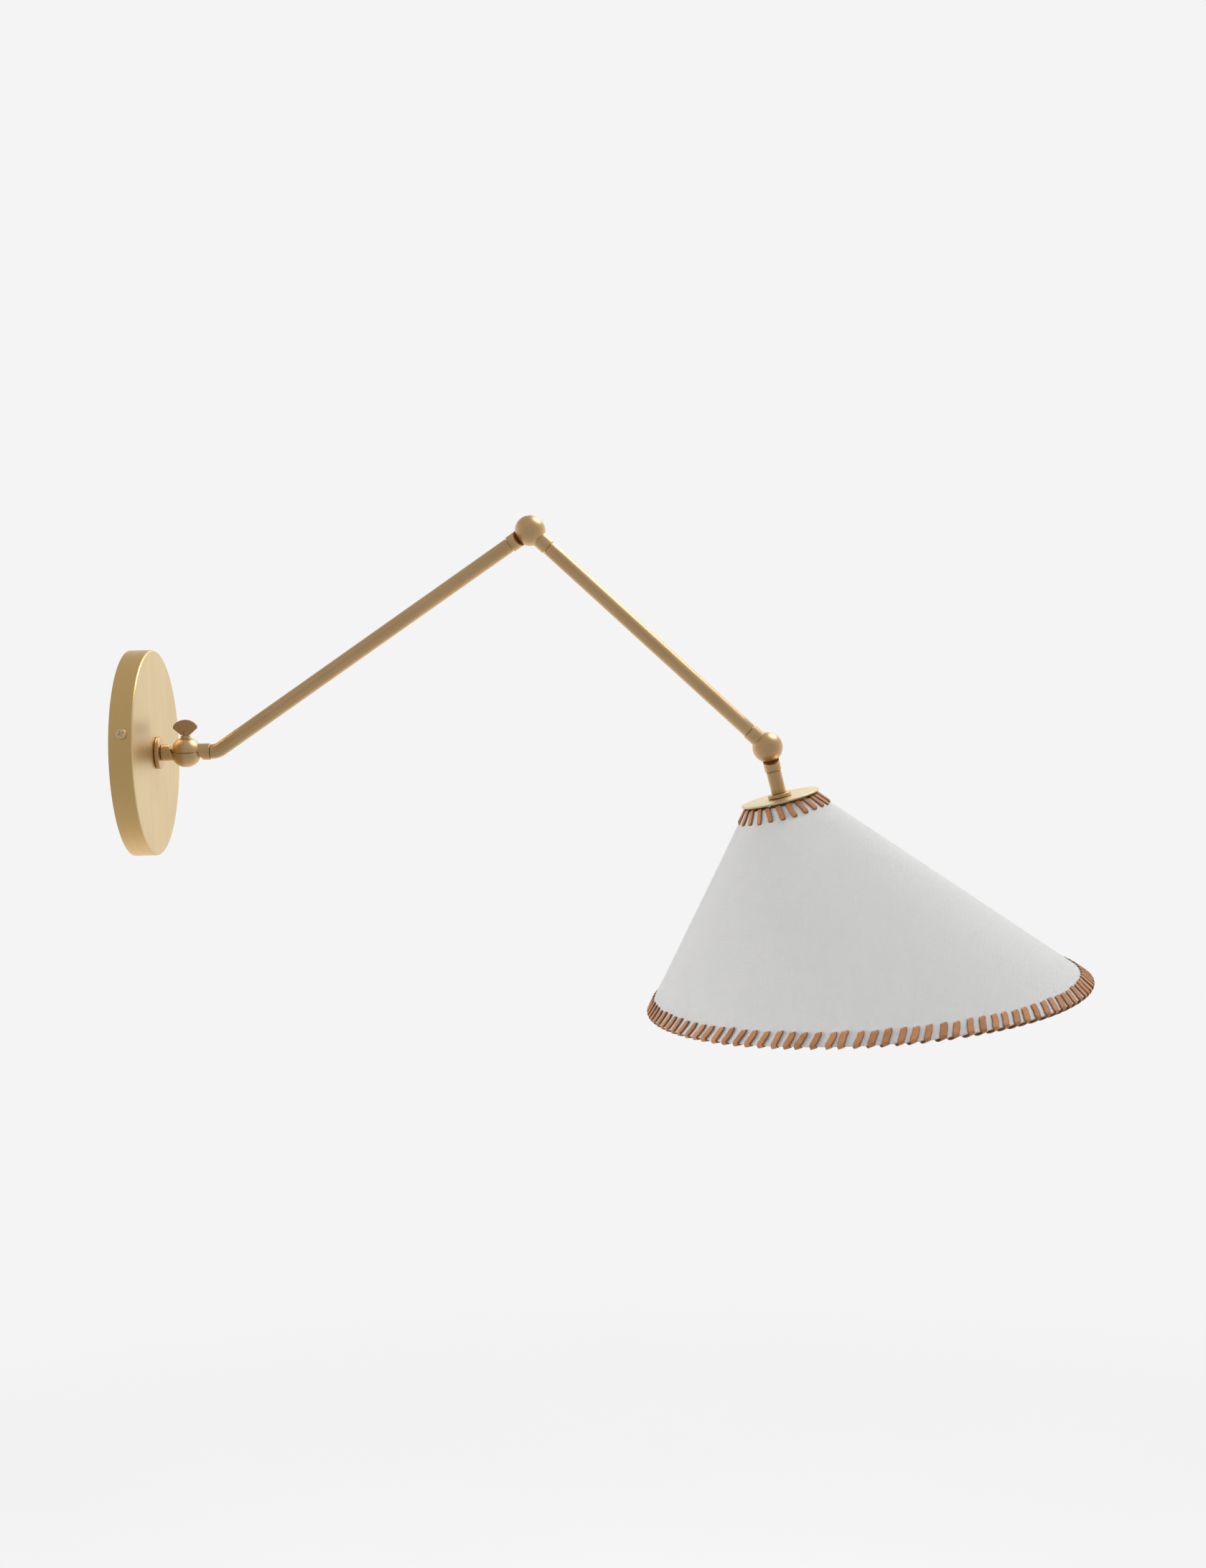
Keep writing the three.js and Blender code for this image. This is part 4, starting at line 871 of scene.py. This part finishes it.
def pan_screw(name, matrix, shank, length, head, depth, finish):
    """Pan-head screw with a cross recess, its head's seat at height 0."""
    thread_low, thread_high, r, head_r = 0.3 - length, -0.6, shank / 2, head / 2
    outline = [(0, -length), (r - 0.5, -length)] + rungs(r, thread_low, thread_high, 0.14)
    outline += [(r, 0), (head_r - 0.1, 0), (head_r, 0.15)]
    for a in map(math.radians, (0, 15, 30, 45, 58, 70, 80)):
        outline.append((head_r * math.cos(a) ** 0.7, depth * 0.35 + depth * 0.65 * math.sin(a)))
    me = lathe(outline + [(0, depth)], 72, 0.05, threaded(0.32, 0.8, thread_low, thread_high, r), 2)
    recess = boxed((head * 0.58, head * 0.17, depth * 1.8), (0, 0, depth * 1.05), 0.08)
    arms = [moved(recess, Matrix.Rotation(turn, 4, "Z")) for turn in (0.5, 0.5 + math.pi / 2)]
    cone = lathe([(0, -depth * 0.1), (head * 0.17, depth * 1.1), (0, depth * 1.1)], 24, 0)
    me = cleaned(cut(me, *arms, cone))
    on_wall(name + "_cross_head", name, me, finish, turned_grain, matrix, weighted=True)


canopy()
for screw, side in (("canopy_screw_near", 1), ("canopy_screw_far", -1)):
    seat = SCREW_LINE * (side * (CANOPY_R + GAP)) + X * SCREW_X
    pan_screw(screw, placed(seat, SCREW_LINE * side, X), 4.1, 6.4, 6.8, 1.6, SCREWS)
collar = lathe(hoop(NIPPLE_HOLE, COLLAR_R, COLLAR_LOW, COLLAR_HIGH), 128, 0.6)
on_wall("canopy_collar_turned", "canopy_collar", collar, SATIN, turned_grain)
low, high = (p.x * 1000 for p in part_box("canopy_nipple"))
outline = [(NIPPLE_BORE, low)] + rungs(NIPPLE_R, low + 0.2, high - 0.2, 0.16) + [(NIPPLE_BORE, high)]
pipe = lathe(outline, 64, 0.1, threaded(0.4, 0.94, low + 0.2, high - 0.2, NIPPLE_R), 2)
on_wall("canopy_nipple_threaded", "canopy_nipple", pipe, ZINC)


# ---- behind the canopy


def bracket():
    """U strap with two ears for the canopy's screws, two slots for the outlet box and a ground hole."""
    inner = STRAP_BEND - STRAP_THICK
    left, right = -STRAP_HALF + STRAP_BEND, STRAP_HALF - STRAP_BEND
    outline = [(-STRAP_HALF, EAR_HEIGHT)] + arc(left, STRAP_BEND, STRAP_BEND, 180, 270, 10)
    outline += arc(right, STRAP_BEND, STRAP_BEND, 270, 360, 10) + [(STRAP_HALF, EAR_HEIGHT)]
    outline += [(STRAP_HALF - STRAP_THICK, EAR_HEIGHT)] + arc(right, STRAP_BEND, inner, 360, 270, 8)
    outline += arc(left, STRAP_BEND, inner, 270, 180, 8) + [(-STRAP_HALF + STRAP_THICK, EAR_HEIGHT)]
    me = plate(outline, -STRAP_WIDTH / 2, STRAP_WIDTH / 2, 0.12, 2)
    run, slot_end = BOX_SLOT_LONG - BOX_SLOT_WIDE, rod_tool(BOX_SLOT_WIDE / 2, 5, "X")
    for at in (-BOX_SLOT_AT, BOX_SLOT_AT):
        ends = [moved(slot_end, Matrix.Translation((at + shift, 0, 0))) for shift in (-run / 2, run / 2)]
        me = cut(me, boxed((run, 10, BOX_SLOT_WIDE), (at, 0, 0)), *ends)
    me = cut(me, moved(rod_tool(GROUND_HOLE, 5, "X"), Matrix.Translation((GROUND_AT, 0, 0))),
             moved(rod_tool(SCREW_HOLE, 90, "Y"), Matrix.Translation((0, SCREW_X, 0))))
    matrix = placed(Vector((0, 0, 0)), SCREW_LINE.cross(X), SCREW_LINE)
    on_wall("wall_bracket_strap", "wall_bracket", cleaned(me), ZINC, matrix=matrix, weighted=True)


def hex_nut(low, bore):
    """Hex nut with chamfered corners, two of them along Y."""
    corner_r, high = NUT_FLATS / 2 / math.cos(math.pi / 6), low + NUT_THICK
    turns = [TAU * (k + 0.5) / 6 for k in range(6)]
    prism = plate([(corner_r * math.cos(a), corner_r * math.sin(a)) for a in turns], low, high, 0)
    near, far, chamfer = corner_r - 0.8, corner_r + 0.3, 0.55
    turned = lathe([(0, low), (near, low), (far, low + chamfer), (far, high - chamfer), (near, high),
                    (0, high)], 96, 0)
    hole = lathe(disc(bore, low - 1, high + 1), 64, 0)
    return cleaned(cut(boolean(prism, "INTERSECT", turned), hole))


def lock_washer():
    ring = lathe(hoop(NIPPLE_HOLE, WASHER_R, WASHER_LOW, WASHER_LOW + WASHER_THICK), 96, 0.15)
    return cleaned(cut(ring, boxed((2 * WASHER_R, WASHER_SPLIT, 8), (WASHER_R, 0, WASHER_LOW))))


def wire_connector(name, side):
    """Twist-on connector: a ribbed cone with a smooth skirt at its mouth."""
    shoulder, tip = CONNECTOR_LONG * 0.25, CONNECTOR_LONG - 1

    def outside(z):
        return MOUTH_R + (TIP_R - MOUTH_R) * min(1.0, max(0.0, (z - shoulder) / (tip - shoulder)))

    def ribs(r, z, a):
        if r < outside(z) - CONNECTOR_WALL / 2 or not shoulder < z < tip - 0.4:
            return r
        fade = min(1.0, (z - shoulder) / 1.2, (tip - 0.4 - z) / 0.8)
        return r - 0.32 * fade * (0.5 - 0.5 * math.cos(14 * a)) ** 2

    inner = [(0, CONNECTOR_LONG - CONNECTOR_WALL), (TIP_R - CONNECTOR_WALL, CONNECTOR_LONG - CONNECTOR_WALL),
             (MOUTH_R - CONNECTOR_WALL, shoulder), (MOUTH_R - CONNECTOR_WALL, 0)]
    cone = [(outside(z), z) for z in (shoulder + (tip - shoulder) * k / 16 for k in range(17))]
    outline = inner + [(MOUTH_R, 0)] + cone + [(TIP_R - 1, CONNECTOR_LONG), (0, CONNECTOR_LONG)]
    matrix = placed(Vector((CONNECTOR_X, side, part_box(name)[0].z * 1000)), Z, X)
    on_wall(name + "_ribbed", name, lathe(outline, 168, 0.3, ribs, 3), ORANGE, matrix=matrix, sharp=50)


def through(points, steps=10):
    """Centripetal Catmull-Rom line through the points."""
    points = [Vector(p) for p in points]
    points = [2 * points[0] - points[1]] + points + [2 * points[-1] - points[-2]]
    line = []
    for p0, p1, p2, p3 in zip(points, points[1:], points[2:], points[3:]):
        a, b, c = (math.sqrt((q - p).length) for p, q in ((p0, p1), (p1, p2), (p2, p3)))
        start = ((p1 - p0) / a - (p2 - p0) / (a + b) + (p2 - p1) / b) * b
        end = ((p2 - p1) / b - (p3 - p1) / (b + c) + (p3 - p2) / c) * b
        for k in range(steps):
            t = k / steps
            line.append(p1 * (2 * t ** 3 - 3 * t ** 2 + 1) + start * (t ** 3 - 2 * t ** 2 + t)
                        + p2 * (3 * t ** 2 - 2 * t ** 3) + end * (t ** 3 - t ** 2))
    return line + [points[-2]]


def lead(name, points, finish):
    on_wall(name + "_jacket", name, rod_along(through(points), LEAD_R), finish, matrix=PLAIN, sharp=50)


bracket()
on_wall("canopy_nut_hex", "canopy_nut", hex_nut(CANOPY_NUT_LOW, NIPPLE_HOLE), ZINC, weighted=True)
on_wall("canopy_lock_washer_split", "canopy_lock_washer", lock_washer(), ZINC, weighted=True)
seat = SCREW_LINE * GROUND_AT + X * (STRAP_THICK + GAP)
pan_screw("ground_screw", placed(seat, X, SCREW_LINE), 3.6, STRAP_THICK, 8.0, 2.2, GREEN_SCREW)
connector_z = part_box("wire_connector_live")[0].z * 1000
for name, side, jacket in (("live", -16, BLACK_PVC), ("neutral", 12, WHITE_PVC)):
    wire_connector("wire_connector_" + name, side)
    reach = math.copysign(LEAD_R * 1.5, side)
    rise = [(LEAD_X, reach, 0), (LEAD_X, reach + side * 0.15, connector_z * 0.3)]
    rise += [(CONNECTOR_X, side * 0.7, connector_z * 0.7)]
    rise += [(CONNECTOR_X, side, z) for z in (connector_z - GAP, connector_z + 4)]
    lead("lead_" + name, rise, jacket)
tie = SCREW_LINE * (GROUND_AT - 4 - 2 * LEAD_R)
lead("lead_ground", [(LEAD_X, 0, -3 * LEAD_R), (LEAD_X, tie.y * 0.5, tie.z * 0.5 - 6 * LEAD_R),
                     (STRAP_THICK + GAP + 2 * LEAD_R, tie.y, tie.z)], GREEN_PVC)


# ---- head hardware


def on_head(name, node, me, finish, grain=None, sharp=32, weighted=False):
    return build(name, node, me, HEAD_FRAME, "lamp_head", finish, grain, sharp, weighted)


collar = lathe(hoop(STEM_HOLE, STEM_COLLAR_R, -STEM_COLLAR_END, -STEM_END - GAP), 112, 0.5)
on_head("stem_collar_turned", "stem_collar", collar, SATIN, turned_grain)
low, high = -CAP_END, -CAP_END + DISC_THICK
outline = [(STEM_HOLE, low), (CAP_R, low)] + [(r, high) for r in (CAP_R, 20, 12, STEM_HOLE)]
outline += [(STEM_HOLE, low)]
on_head("shade_cap_disc", "shade_cap", lathe(outline, 160, 0.35), CAP, turned_grain)
on_head("stem_nut_hex", "stem_nut", hex_nut(-NUT_END, STEM_HOLE), ZINC, weighted=True)


def socket_cap():
    """Spun cup of the lamp holder."""
    wall, low, top = 0.8, -SOCKET_CAP_END, -SOCKET_CAP_START
    dome = [(6 + 11 * math.cos(a) ** 0.9, top - 8.4 + 8.4 * math.sin(a) ** 1.15)
            for a in map(math.radians, range(6, 90, 7))]
    inner = [(5.6 + 10.6 * math.cos(a) ** 0.9, top - wall - 8.4 + 8.4 * math.sin(a) ** 1.15)
             for a in map(math.radians, range(83, 0, -7))]
    outline = [(SOCKET_R - wall, low), (SOCKET_R, low), (SOCKET_R, top - 9.4)] + dome
    outline += [(6, top), (STEM_HOLE, top), (STEM_HOLE, top - wall), (5.6, top - wall)] + inner
    outline += [(SOCKET_R - wall, top - 10.4), (SOCKET_R - wall, low)]
    return lathe(outline, 112, 0.2, round_steps=2)


def socket_body():
    """Ribbed phenolic body of the lamp holder, open towards the bulb."""
    low, high, bore = -SOCKET_END, -SOCKET_START, BASE_R + GAP + SHELL_R - SHELL_BORE + GAP
    floor_low = high - SOCKET_FLOOR

    def ribs(r, z, a):
        if abs(r - SOCKET_R) < 1e-4 and low + 6 < z < high - 8:
            return r - 0.35 * max(0.0, math.cos(36 * a))
        return r

    outline = [(bore, low), (SOCKET_R, low)] + rungs(SOCKET_R, low + 2, high - 2, 1.6)
    outline += [(SOCKET_R, high), (2.1, high), (2.1, floor_low), (bore, floor_low), (bore, low)]
    return lathe(outline, 288, 0.4, ribs, 2)


def bulb_base():
    """Rolled screw base with its insulator and tip."""
    outline = [(0, -BASE_START - 0.6), (11.7, -BASE_START - 2.6), (11.7, -BASE_END), (BASE_R, -BASE_END)]
    outline += rungs(BASE_R, -BASE_END + 1, -BASE_START - 3, 0.3)
    outline += [(11.0, -BASE_START), (4.5, -BASE_START + 1.8), (4.5, -BULB_TIP - 0.5), (3.5, -BULB_TIP),
                (0, -BULB_TIP)]
    return lathe(outline, 96, 0.25, threaded(1.0, 3.6, -BASE_END + 4.5, -BASE_END + 19.5, BASE_R), 3)


def bulb_glass():
    """A globe that narrows to a straight neck, as thin glass."""
    centre = -GLASS_END + GLASS_R
    neck_long, blend_up = 12, 12

    def globe(radius, turns):
        return [(radius * math.sin(a), centre - radius * math.cos(a)) for a in map(math.radians, turns)]

    def radius_at(z):
        below = -GLASS_START - z
        if below < neck_long:
            return GLASS_NECK
        if z <= centre + blend_up:
            return math.sqrt(max(0.0, GLASS_R ** 2 - (z - centre) ** 2))
        s = (below - neck_long) / (-GLASS_START - neck_long - (centre + blend_up))
        return GLASS_NECK + (math.sqrt(GLASS_R ** 2 - blend_up ** 2) - GLASS_NECK) * s * s * (3 - 2 * s)

    pole, inner_pole = globe(GLASS_R, (0, 3, 6, 9)), globe(GLASS_R - GLASS_WALL, (9, 6, 3, 0))
    heights = [-GLASS_START + (GLASS_START - GLASS_END) * i / 59 for i in range(60)]
    outside = [(radius_at(z), z) for z in heights if z > pole[-1][1] + 0.4]
    inside = [(r - GLASS_WALL, z) for r, z in outside if z > inner_pole[0][1] + 0.4]
    return lathe(pole + outside[::-1] + inside + inner_pole, 128, 0.05, round_steps=1)


floor_low = -SOCKET_START - SOCKET_FLOOR - GAP
on_head("socket_cap_spun", "socket_cap", socket_cap(), SATIN, turned_grain)
on_head("socket_body_moulded", "socket_body", socket_body(), PHENOLIC)
shell = lathe(hoop(SHELL_BORE, SHELL_R, floor_low - SHELL_LONG, floor_low), 96, 0.1)
on_head("socket_shell_rolled", "socket_screw_shell", shell, ALUMINIUM)
contact = lathe(disc(CONTACT_R, floor_low - CONTACT_THICK, floor_low), 48, 0.3)
on_head("socket_contact_button", "socket_contact", contact, SATIN, turned_grain)
on_head("bulb_base_rolled", "bulb_base", bulb_base(), ALUMINIUM)
on_head("bulb_glass_blown", "bulb_glass", bulb_glass(), GLASS, sharp=60)


# ---- shade


def wall_at(angle):
    """Top and rim points of the shade's wall at an angle, the slope between them and the way out."""
    c, s = math.cos(angle), math.sin(angle)
    top = Vector((TOP_R * c, TOP_R * s, -TOP_DROP))
    rim = Vector((RIM_OUT + RIM_R * c * math.cos(RIM_TILT), RIM_R * s,
                  -RIM_DROP - RIM_R * c * math.sin(RIM_TILT)))
    slope = (rim - top).normalized()
    radial = Vector((c, s, 0))
    out = (radial - slope * radial.dot(slope)).normalized()
    return top, rim, slope, out


def ring_point(angle, edge):
    """Centre of the wire ring inside the shade's top or rim."""
    top, rim, slope, out = wall_at(angle)
    at = rim - slope * RING_FROM_EDGE if edge == "rim" else top + slope * RING_FROM_EDGE
    return at + out * RING_PROUD


def ring_line(edge, count):
    return [ring_point(TAU * i / count, edge) for i in range(count)]


def cloth_place(angle, down):
    """Where a point of the wall lies on the flat cut: a sector that wraps to the cone."""
    top, rim, _, _ = wall_at(angle)
    rho = TOP_R / CUT_SHARE + down * CUT_HEIGHT / (rim - top).length
    turn = ((angle + math.pi) % TAU - math.pi) * CUT_SHARE
    return rho * math.cos(turn), rho * math.sin(turn)


rng = random.Random(7)


def lace_holes(count, radius, sideways, height, lower, higher):
    """Angles of a row of punched holes and their heights from the edge, a little uneven."""
    return [(TAU * (k + 0.5) / count + rng.uniform(-sideways, sideways) / radius,
             height + rng.uniform(-lower, higher)) for k in range(count)]


rim_holes = lace_holes(RIM_STRAPS, RIM_R, 0.9, 9.6, 0.55, 0.45)
top_holes = lace_holes(TOP_STRAPS, TOP_R, 0.5, 10.6, 0.6, 0.4)


def linen_proud(angle, share, up):
    """How far the linen stands off: puckers at the rim's lace holes, a slow wave and a glued lap."""
    proud = 0.0
    if up < 15:
        nearest = min((a * RIM_R - angle * RIM_R) ** 2 / 2.2 + (u + 0.9 - up) ** 2 / 0.9
                      for a, u in rim_holes if abs(a - angle) < 0.2)
        proud += 0.42 * math.exp(-nearest) - 0.12
    proud += 0.16 * math.sin(3 * angle + 0.5) * math.sin(math.pi * share)
    past_lap = (angle - math.pi) * (TOP_R + (RIM_R - TOP_R) * share)
    if 0 <= past_lap <= 9:
        proud += 0.45 * min(1.0, (9.0 - past_lap) / 0.6)
    return proud


def shade_sheet(outside, inside, columns, relief=None):
    """Closed sheet round the shade, with closer rows at both edges. relief() may lift its outer face."""
    total = 190.0
    rows = [0.0, 0.25] + [0.8 * i for i in range(1, 18)] + [16 + 6.2 * i for i in range(24)]
    fine = [total - d for d in [0.0, 0.25] + [0.8 * i for i in range(1, 17)]][::-1]
    shares = [r / total for r in rows if r < fine[0] - 3] + [f / total for f in fine]
    bm = bmesh.new()
    columns_out, columns_in, cloth = [], [], []
    for i in range(columns):
        angle = TAU * i / columns
        top, rim, slope, out = wall_at(angle)
        length = (rim - top).length
        for made, face, depth in ((columns_out, outside, 0.0), (columns_in, inside, 30.0)):
            column = []
            for share in shares:
                down = share * length
                lift = relief(angle, share, length - down) if relief and made is columns_out else 0.0
                column.append(bm.verts.new(top + slope * down + out * (face + lift)))
                cloth.append((*cloth_place(angle, down), depth))
            made.append(column)
    last = len(shares) - 1
    for i in range(columns):
        (a, b), (c, d) = ((side[i], side[(i + 1) % columns]) for side in (columns_out, columns_in))
        for k in range(last):
            bm.faces.new((a[k], a[k + 1], b[k + 1], b[k]))
            bm.faces.new((c[k], d[k], d[k + 1], c[k + 1]))
        bm.faces.new((a[0], b[0], d[0], c[0]))
        bm.faces.new((a[last], c[last], d[last], b[last]))
    me = mesh_of(bm)
    vector_layer(me, "cloth", cloth)
    return me


STRAP_SECTION = [
    (-0.5, -0.3), (-0.44, -0.5), (0, -0.5), (0.44, -0.5), (0.5, -0.3), (0.5, 0.3),
    (0.44, 0.48), (0.22, 0.55), (0, 0.58), (-0.22, 0.55), (-0.44, 0.48), (-0.5, 0.3),
]
LACE_THICK, RIM_LACE, TOP_LACE = 0.85, (4.3, 6.3), (3.7, 0.7)  # a lace's width and slant


def strap_keys(height, outer, sway, inner):
    """One turn of the lace as (distance from the edge, proud, distance sideways) in millimetres: out of
    its hole, over the edge and round the wire ring, then up inside to the next hole."""
    return [
        (height, -0.35, 0.0), (height - 0.25, 0.35, 0.05 * outer), (height - 1.0, 0.72, 0.12 * outer),
        (height * 0.75, 0.74, 0.26 * outer + sway), (height * 0.5, 0.74, 0.5 * outer + sway),
        (height * 0.25, 0.74, 0.75 * outer + 0.5 * sway), (0.9, 0.76, 0.94 * outer),
        (-0.25, 0.66, outer), (-0.85, 0.1, outer + 0.1), (-1.02, -0.8, outer + 0.3),
        (-0.75, -2.0, outer + 0.7), (-0.05, -3.6, outer + 1.1), (0.7, -5.0, outer + 1.5),
        (1.5, -5.95, outer + 1.8), (2.6, -6.3, outer + 2.1), (3.8, -5.8, outer + 2.5),
        (5.4, -4.6, 0.5 * (outer + 2.5 + inner)), (7.4, -3.2, inner - 0.4),
        (height - 0.9, -2.45, inner - 0.1), (height - 0.1, -2.2, inner), (height + 0.05, -1.75, inner),
    ]


def smoothed(keys):
    """Catmull-Rom line through the keys, with one more point between each two."""
    line, last = [], len(keys) - 1
    for i in range(last):
        p0, p1, p2, p3 = (Vector(keys[max(0, min(last, i + d))]) for d in (-1, 0, 1, 2))
        for t in (0.0, 0.5):
            line.append(0.5 * ((2 * p1) + (p2 - p0) * t + (2 * p0 - 5 * p1 + 4 * p2 - p3) * t * t
                               + (3 * p1 - p0 - 3 * p2 + p3) * t ** 3))
    return line + [Vector(keys[-1])]


def lace(edge, holes, width, slant):
    """Whip-stitched lace over the rim or the top edge, one strap a hole."""
    bm = bmesh.new()
    data = []
    radius = RIM_R if edge == "rim" else TOP_R
    for index, (angle, height) in enumerate(holes):
        outer = slant + rng.uniform(-0.5, 0.5)
        broad, tint = width * rng.uniform(0.92, 1.06), rng.random()
        sway = rng.uniform(-0.35, 0.35)
        before = holes[index - 1][0] if index else holes[-1][0] - TAU
        line = smoothed(strap_keys(height, outer, sway, (angle - before) * radius))
        points, normals = [], []
        for i, q in enumerate(line):
            top, rim, slope, out = wall_at(angle - q.z / radius)
            origin, away = (rim, -slope) if edge == "rim" else (top, slope)
            points.append(origin + away * q.x + out * q.y)
            d = line[min(i + 1, len(line) - 1)] - line[max(i - 1, 0)]
            flat = Vector((d.x, d.y)).normalized()
            normals.append((away * flat.y - out * flat.x).normalized())
        rows, along = [], distances(points)
        for i, p in enumerate(points):
            tangent = direction(points, i)
            normal = (normals[i] - tangent * normals[i].dot(tangent)).normalized()
            side = tangent.cross(normal)
            from_end = min(along[i], along[-1] - along[i])
            w = broad * (0.5 + 0.5 * min(1.0, (from_end / 1.5)) ** 0.6)
            frayed = 0.07 * math.sin(9.1 * index + 2.3 * i) + 0.05 * math.sin(3.7 * index + 4.9 * i)
            rows.append([
                bm.verts.new(p + side * (u * (w + frayed * (1 if u > 0 else -1))) + normal * (v * LACE_THICK))
                for u, v in STRAP_SECTION
            ])
            data += [(2 * u, along[i], tint) for u, _ in STRAP_SECTION]
        for a, b in zip(rows, rows[1:]):
            for k in range(len(a)):
                j = (k + 1) % len(a)
                bm.faces.new((a[k], a[j], b[j], b[k]))
        bm.faces.new(rows[0][::-1])
        bm.faces.new(rows[-1])
    bmesh.ops.recalc_face_normals(bm, faces=bm.faces[:])
    me = mesh_of(bm)
    vector_layer(me, "lace", data)
    return me


def spider():
    """Hub, three arms and the top ring, as one welded piece."""
    hub = lathe(hoop(STEM_HOLE, HUB_R, -HUB_END, -HUB_END + DISC_THICK), 96, 0.3)
    parts = [closed_rod(ring_line("top", 144), RING_WIRE / 2)]
    for a in (TAU * k / 3 for k in range(3)):
        outer = ring_point(a, "top")
        inner = Vector((7.4 * math.cos(a), 7.4 * math.sin(a), -HUB_END + 0.25))
        shares = [i / 12 for i in range(13)]
        sag = [inner.lerp(outer, t) + Vector((0, 0, -0.3 * math.sin(math.pi * t))) for t in shares]
        parts.append(rod_along(sag, 0.95, 20))
    return cleaned(union(hub, *parts))


linen = on_head("shade_linen_wrap", "shade_linen", shade_sheet(0.0, -1.0, 848, linen_proud), LINEN, sharp=50)
on_head("shade_styrene_backing", "shade_liner", shade_sheet(-1.3, -1.7, 192), LINER, sharp=50)
rim_lace, top_lace = (
    on_head(f"shade_{edge}_whip_lace", f"shade_{edge}_lacing", lace(edge, *row), LEATHER, sharp=40)
    for edge, row in (("rim", (rim_holes, *RIM_LACE)), ("top", (top_holes, *TOP_LACE)))
)
on_head("shade_rim_ring_wire", "shade_rim_ring", closed_rod(ring_line("rim", 288), RING_WIRE / 2), RINGS)
on_head("shade_spider_wire", "shade_spider", spider(), RINGS, weighted=True)


# ---- CAD nodes that stay, with finishes of their own

for material, nodes in (
    (red_fibre(), ("base_friction_washer", "elbow_friction_washer", "head_friction_washer")),
    (ZINC[0], ("elbow_spring_washer", "head_spring_washer", "stem_nipple")),
    (WHITE_PVC[0], ("stem_wire",)),
):
    for node in nodes:
        for slot in frame["nodes"][node].material_slots:
            slot.material = material


# ---- room, light and camera


def floor():
    """Wide pale disc below the part, which fades out and lifts the light from below a little."""
    n = surface("studio_floor")
    place = n.place()
    away = n.add("VectorMath", {0: place}, operation="LENGTH").outputs["Value"]
    base = n.mix(n.fit(n.noise(place, 2.0), 0.3, 0.7), rgb(247, 247, 246), rgb(244, 244, 243))
    n.set(Base_Color=base, Roughness=0.75, Specular_IOR_Level=0.2, Alpha=n.fit(away, 1.0, 3.4, 1.0, 0.0),
          Emission_Color=(1, 1, 1, 1), Emission_Strength=0.17)
    bm = bmesh.new()
    bmesh.ops.create_circle(bm, cap_ends=True, radius=3.6, segments=128)
    me = mesh_of(bm)
    me.name = "studio_floor"
    me.materials.append(n.owner)
    obj = bpy.data.objects.new("studio_floor", me)
    obj.location = (0.3, 0.0, cad_box[0].z - 1.4)
    bpy.context.scene.collection.objects.link(obj)
    obj.visible_glossy = False


def world():
    """Plain pale grey for the camera. The part sees a room that is bright behind and dim in front."""
    n = Nodes(bpy.data.worlds.new("studio"))
    bpy.context.scene.world = n.owner
    toward = n.xyz(n.add("TexCoord").outputs["Generated"])
    depth = n.ramp(n.fit(toward["Y"], -1, 1), (0.0, 0.44), (1.0, 1.08), (0.5, 0.6), (0.75, 0.98))
    ceiling = n.ramp(n.fit(toward["Z"], -1, 1), (0.57, 0.0), (0.8, 1.0))
    room = n.add("Background", {"Color": n.mix(ceiling, depth, (0.5, 0.5, 0.505, 1)), "Strength": 1.0})
    backdrop = n.find("BACKGROUND")
    n.feed(backdrop.inputs["Color"], (0.905, 0.905, 0.905, 1))
    n.feed(backdrop.inputs["Strength"], 1.0)
    seen = n.add("LightPath").outputs["Is Camera Ray"]
    both = n.add("MixShader", {0: seen, 1: room.outputs[0], 2: backdrop.outputs[0]})
    n.feed(n.find("OUTPUT_WORLD").inputs["Surface"], both.outputs[0])


def softbox(name, at, target, size, power, glossy=True):
    lamp = bpy.data.lights.new(name, "AREA")
    lamp.shape, lamp.size, lamp.size_y = "RECTANGLE", size[0], size[1]
    lamp.energy = power
    obj = bpy.data.objects.new(name, lamp)
    bpy.context.scene.collection.objects.link(obj)
    obj.location = at
    obj.rotation_euler = (Vector(target) - Vector(at)).to_track_quat("-Z", "Y").to_euler()
    obj.visible_camera, obj.visible_glossy = False, glossy


def camera():
    """The camera fitted to the photo's outlines, with its focal length as a share of the frame's height."""
    at, turned, focal_share, sensor = Vector((0.3394, -1.3918, 0.1152)), (0.83, 5.88, 1.34), 2860.7 / 2185, 36
    cam = bpy.data.cameras.new("camera")
    obj = bpy.data.objects.new("camera", cam)
    bpy.context.scene.collection.objects.link(obj)
    yaw, pitch, roll = (math.radians(a) for a in turned)
    ahead = Vector((-math.sin(yaw) * math.cos(pitch), math.cos(yaw) * math.cos(pitch), -math.sin(pitch)))
    right = Vector((math.cos(yaw), math.sin(yaw), 0))
    down = ahead.cross(right)
    right_now = right * math.cos(roll) + down * math.sin(roll)
    down_now = down * math.cos(roll) - right * math.sin(roll)
    m = Matrix((right_now, -down_now, -ahead)).transposed().to_4x4()
    m.translation = at
    obj.matrix_world = m
    cam.sensor_fit, cam.sensor_width, cam.sensor_height = "AUTO", sensor, 24
    cam.lens = sensor * focal_share
    cam.clip_start, cam.clip_end = 0.01, 50
    cam.dof.use_dof = False
    bpy.context.scene.camera = obj


floor()
world()
middle = Vector((0.32, 0, 0))
softbox("key_right", (1.5, 0.95, 2.0), middle, (1.0, 1.0), 37)
softbox("rim_back", (0.6, 1.7, 0.9), middle, (1.2, 0.9), 2)
softbox("fill_left", (-1.8, -0.1, 0.5), middle, (1.4, 1.4), 29, glossy=False)
softbox("fill_top_front", (0.3, -1.2, 1.8), middle, (1.8, 1.6), 5, glossy=False)
camera()
bpy.context.scene.view_settings.view_transform = "Standard"
bpy.context.scene.view_settings.look = "None"
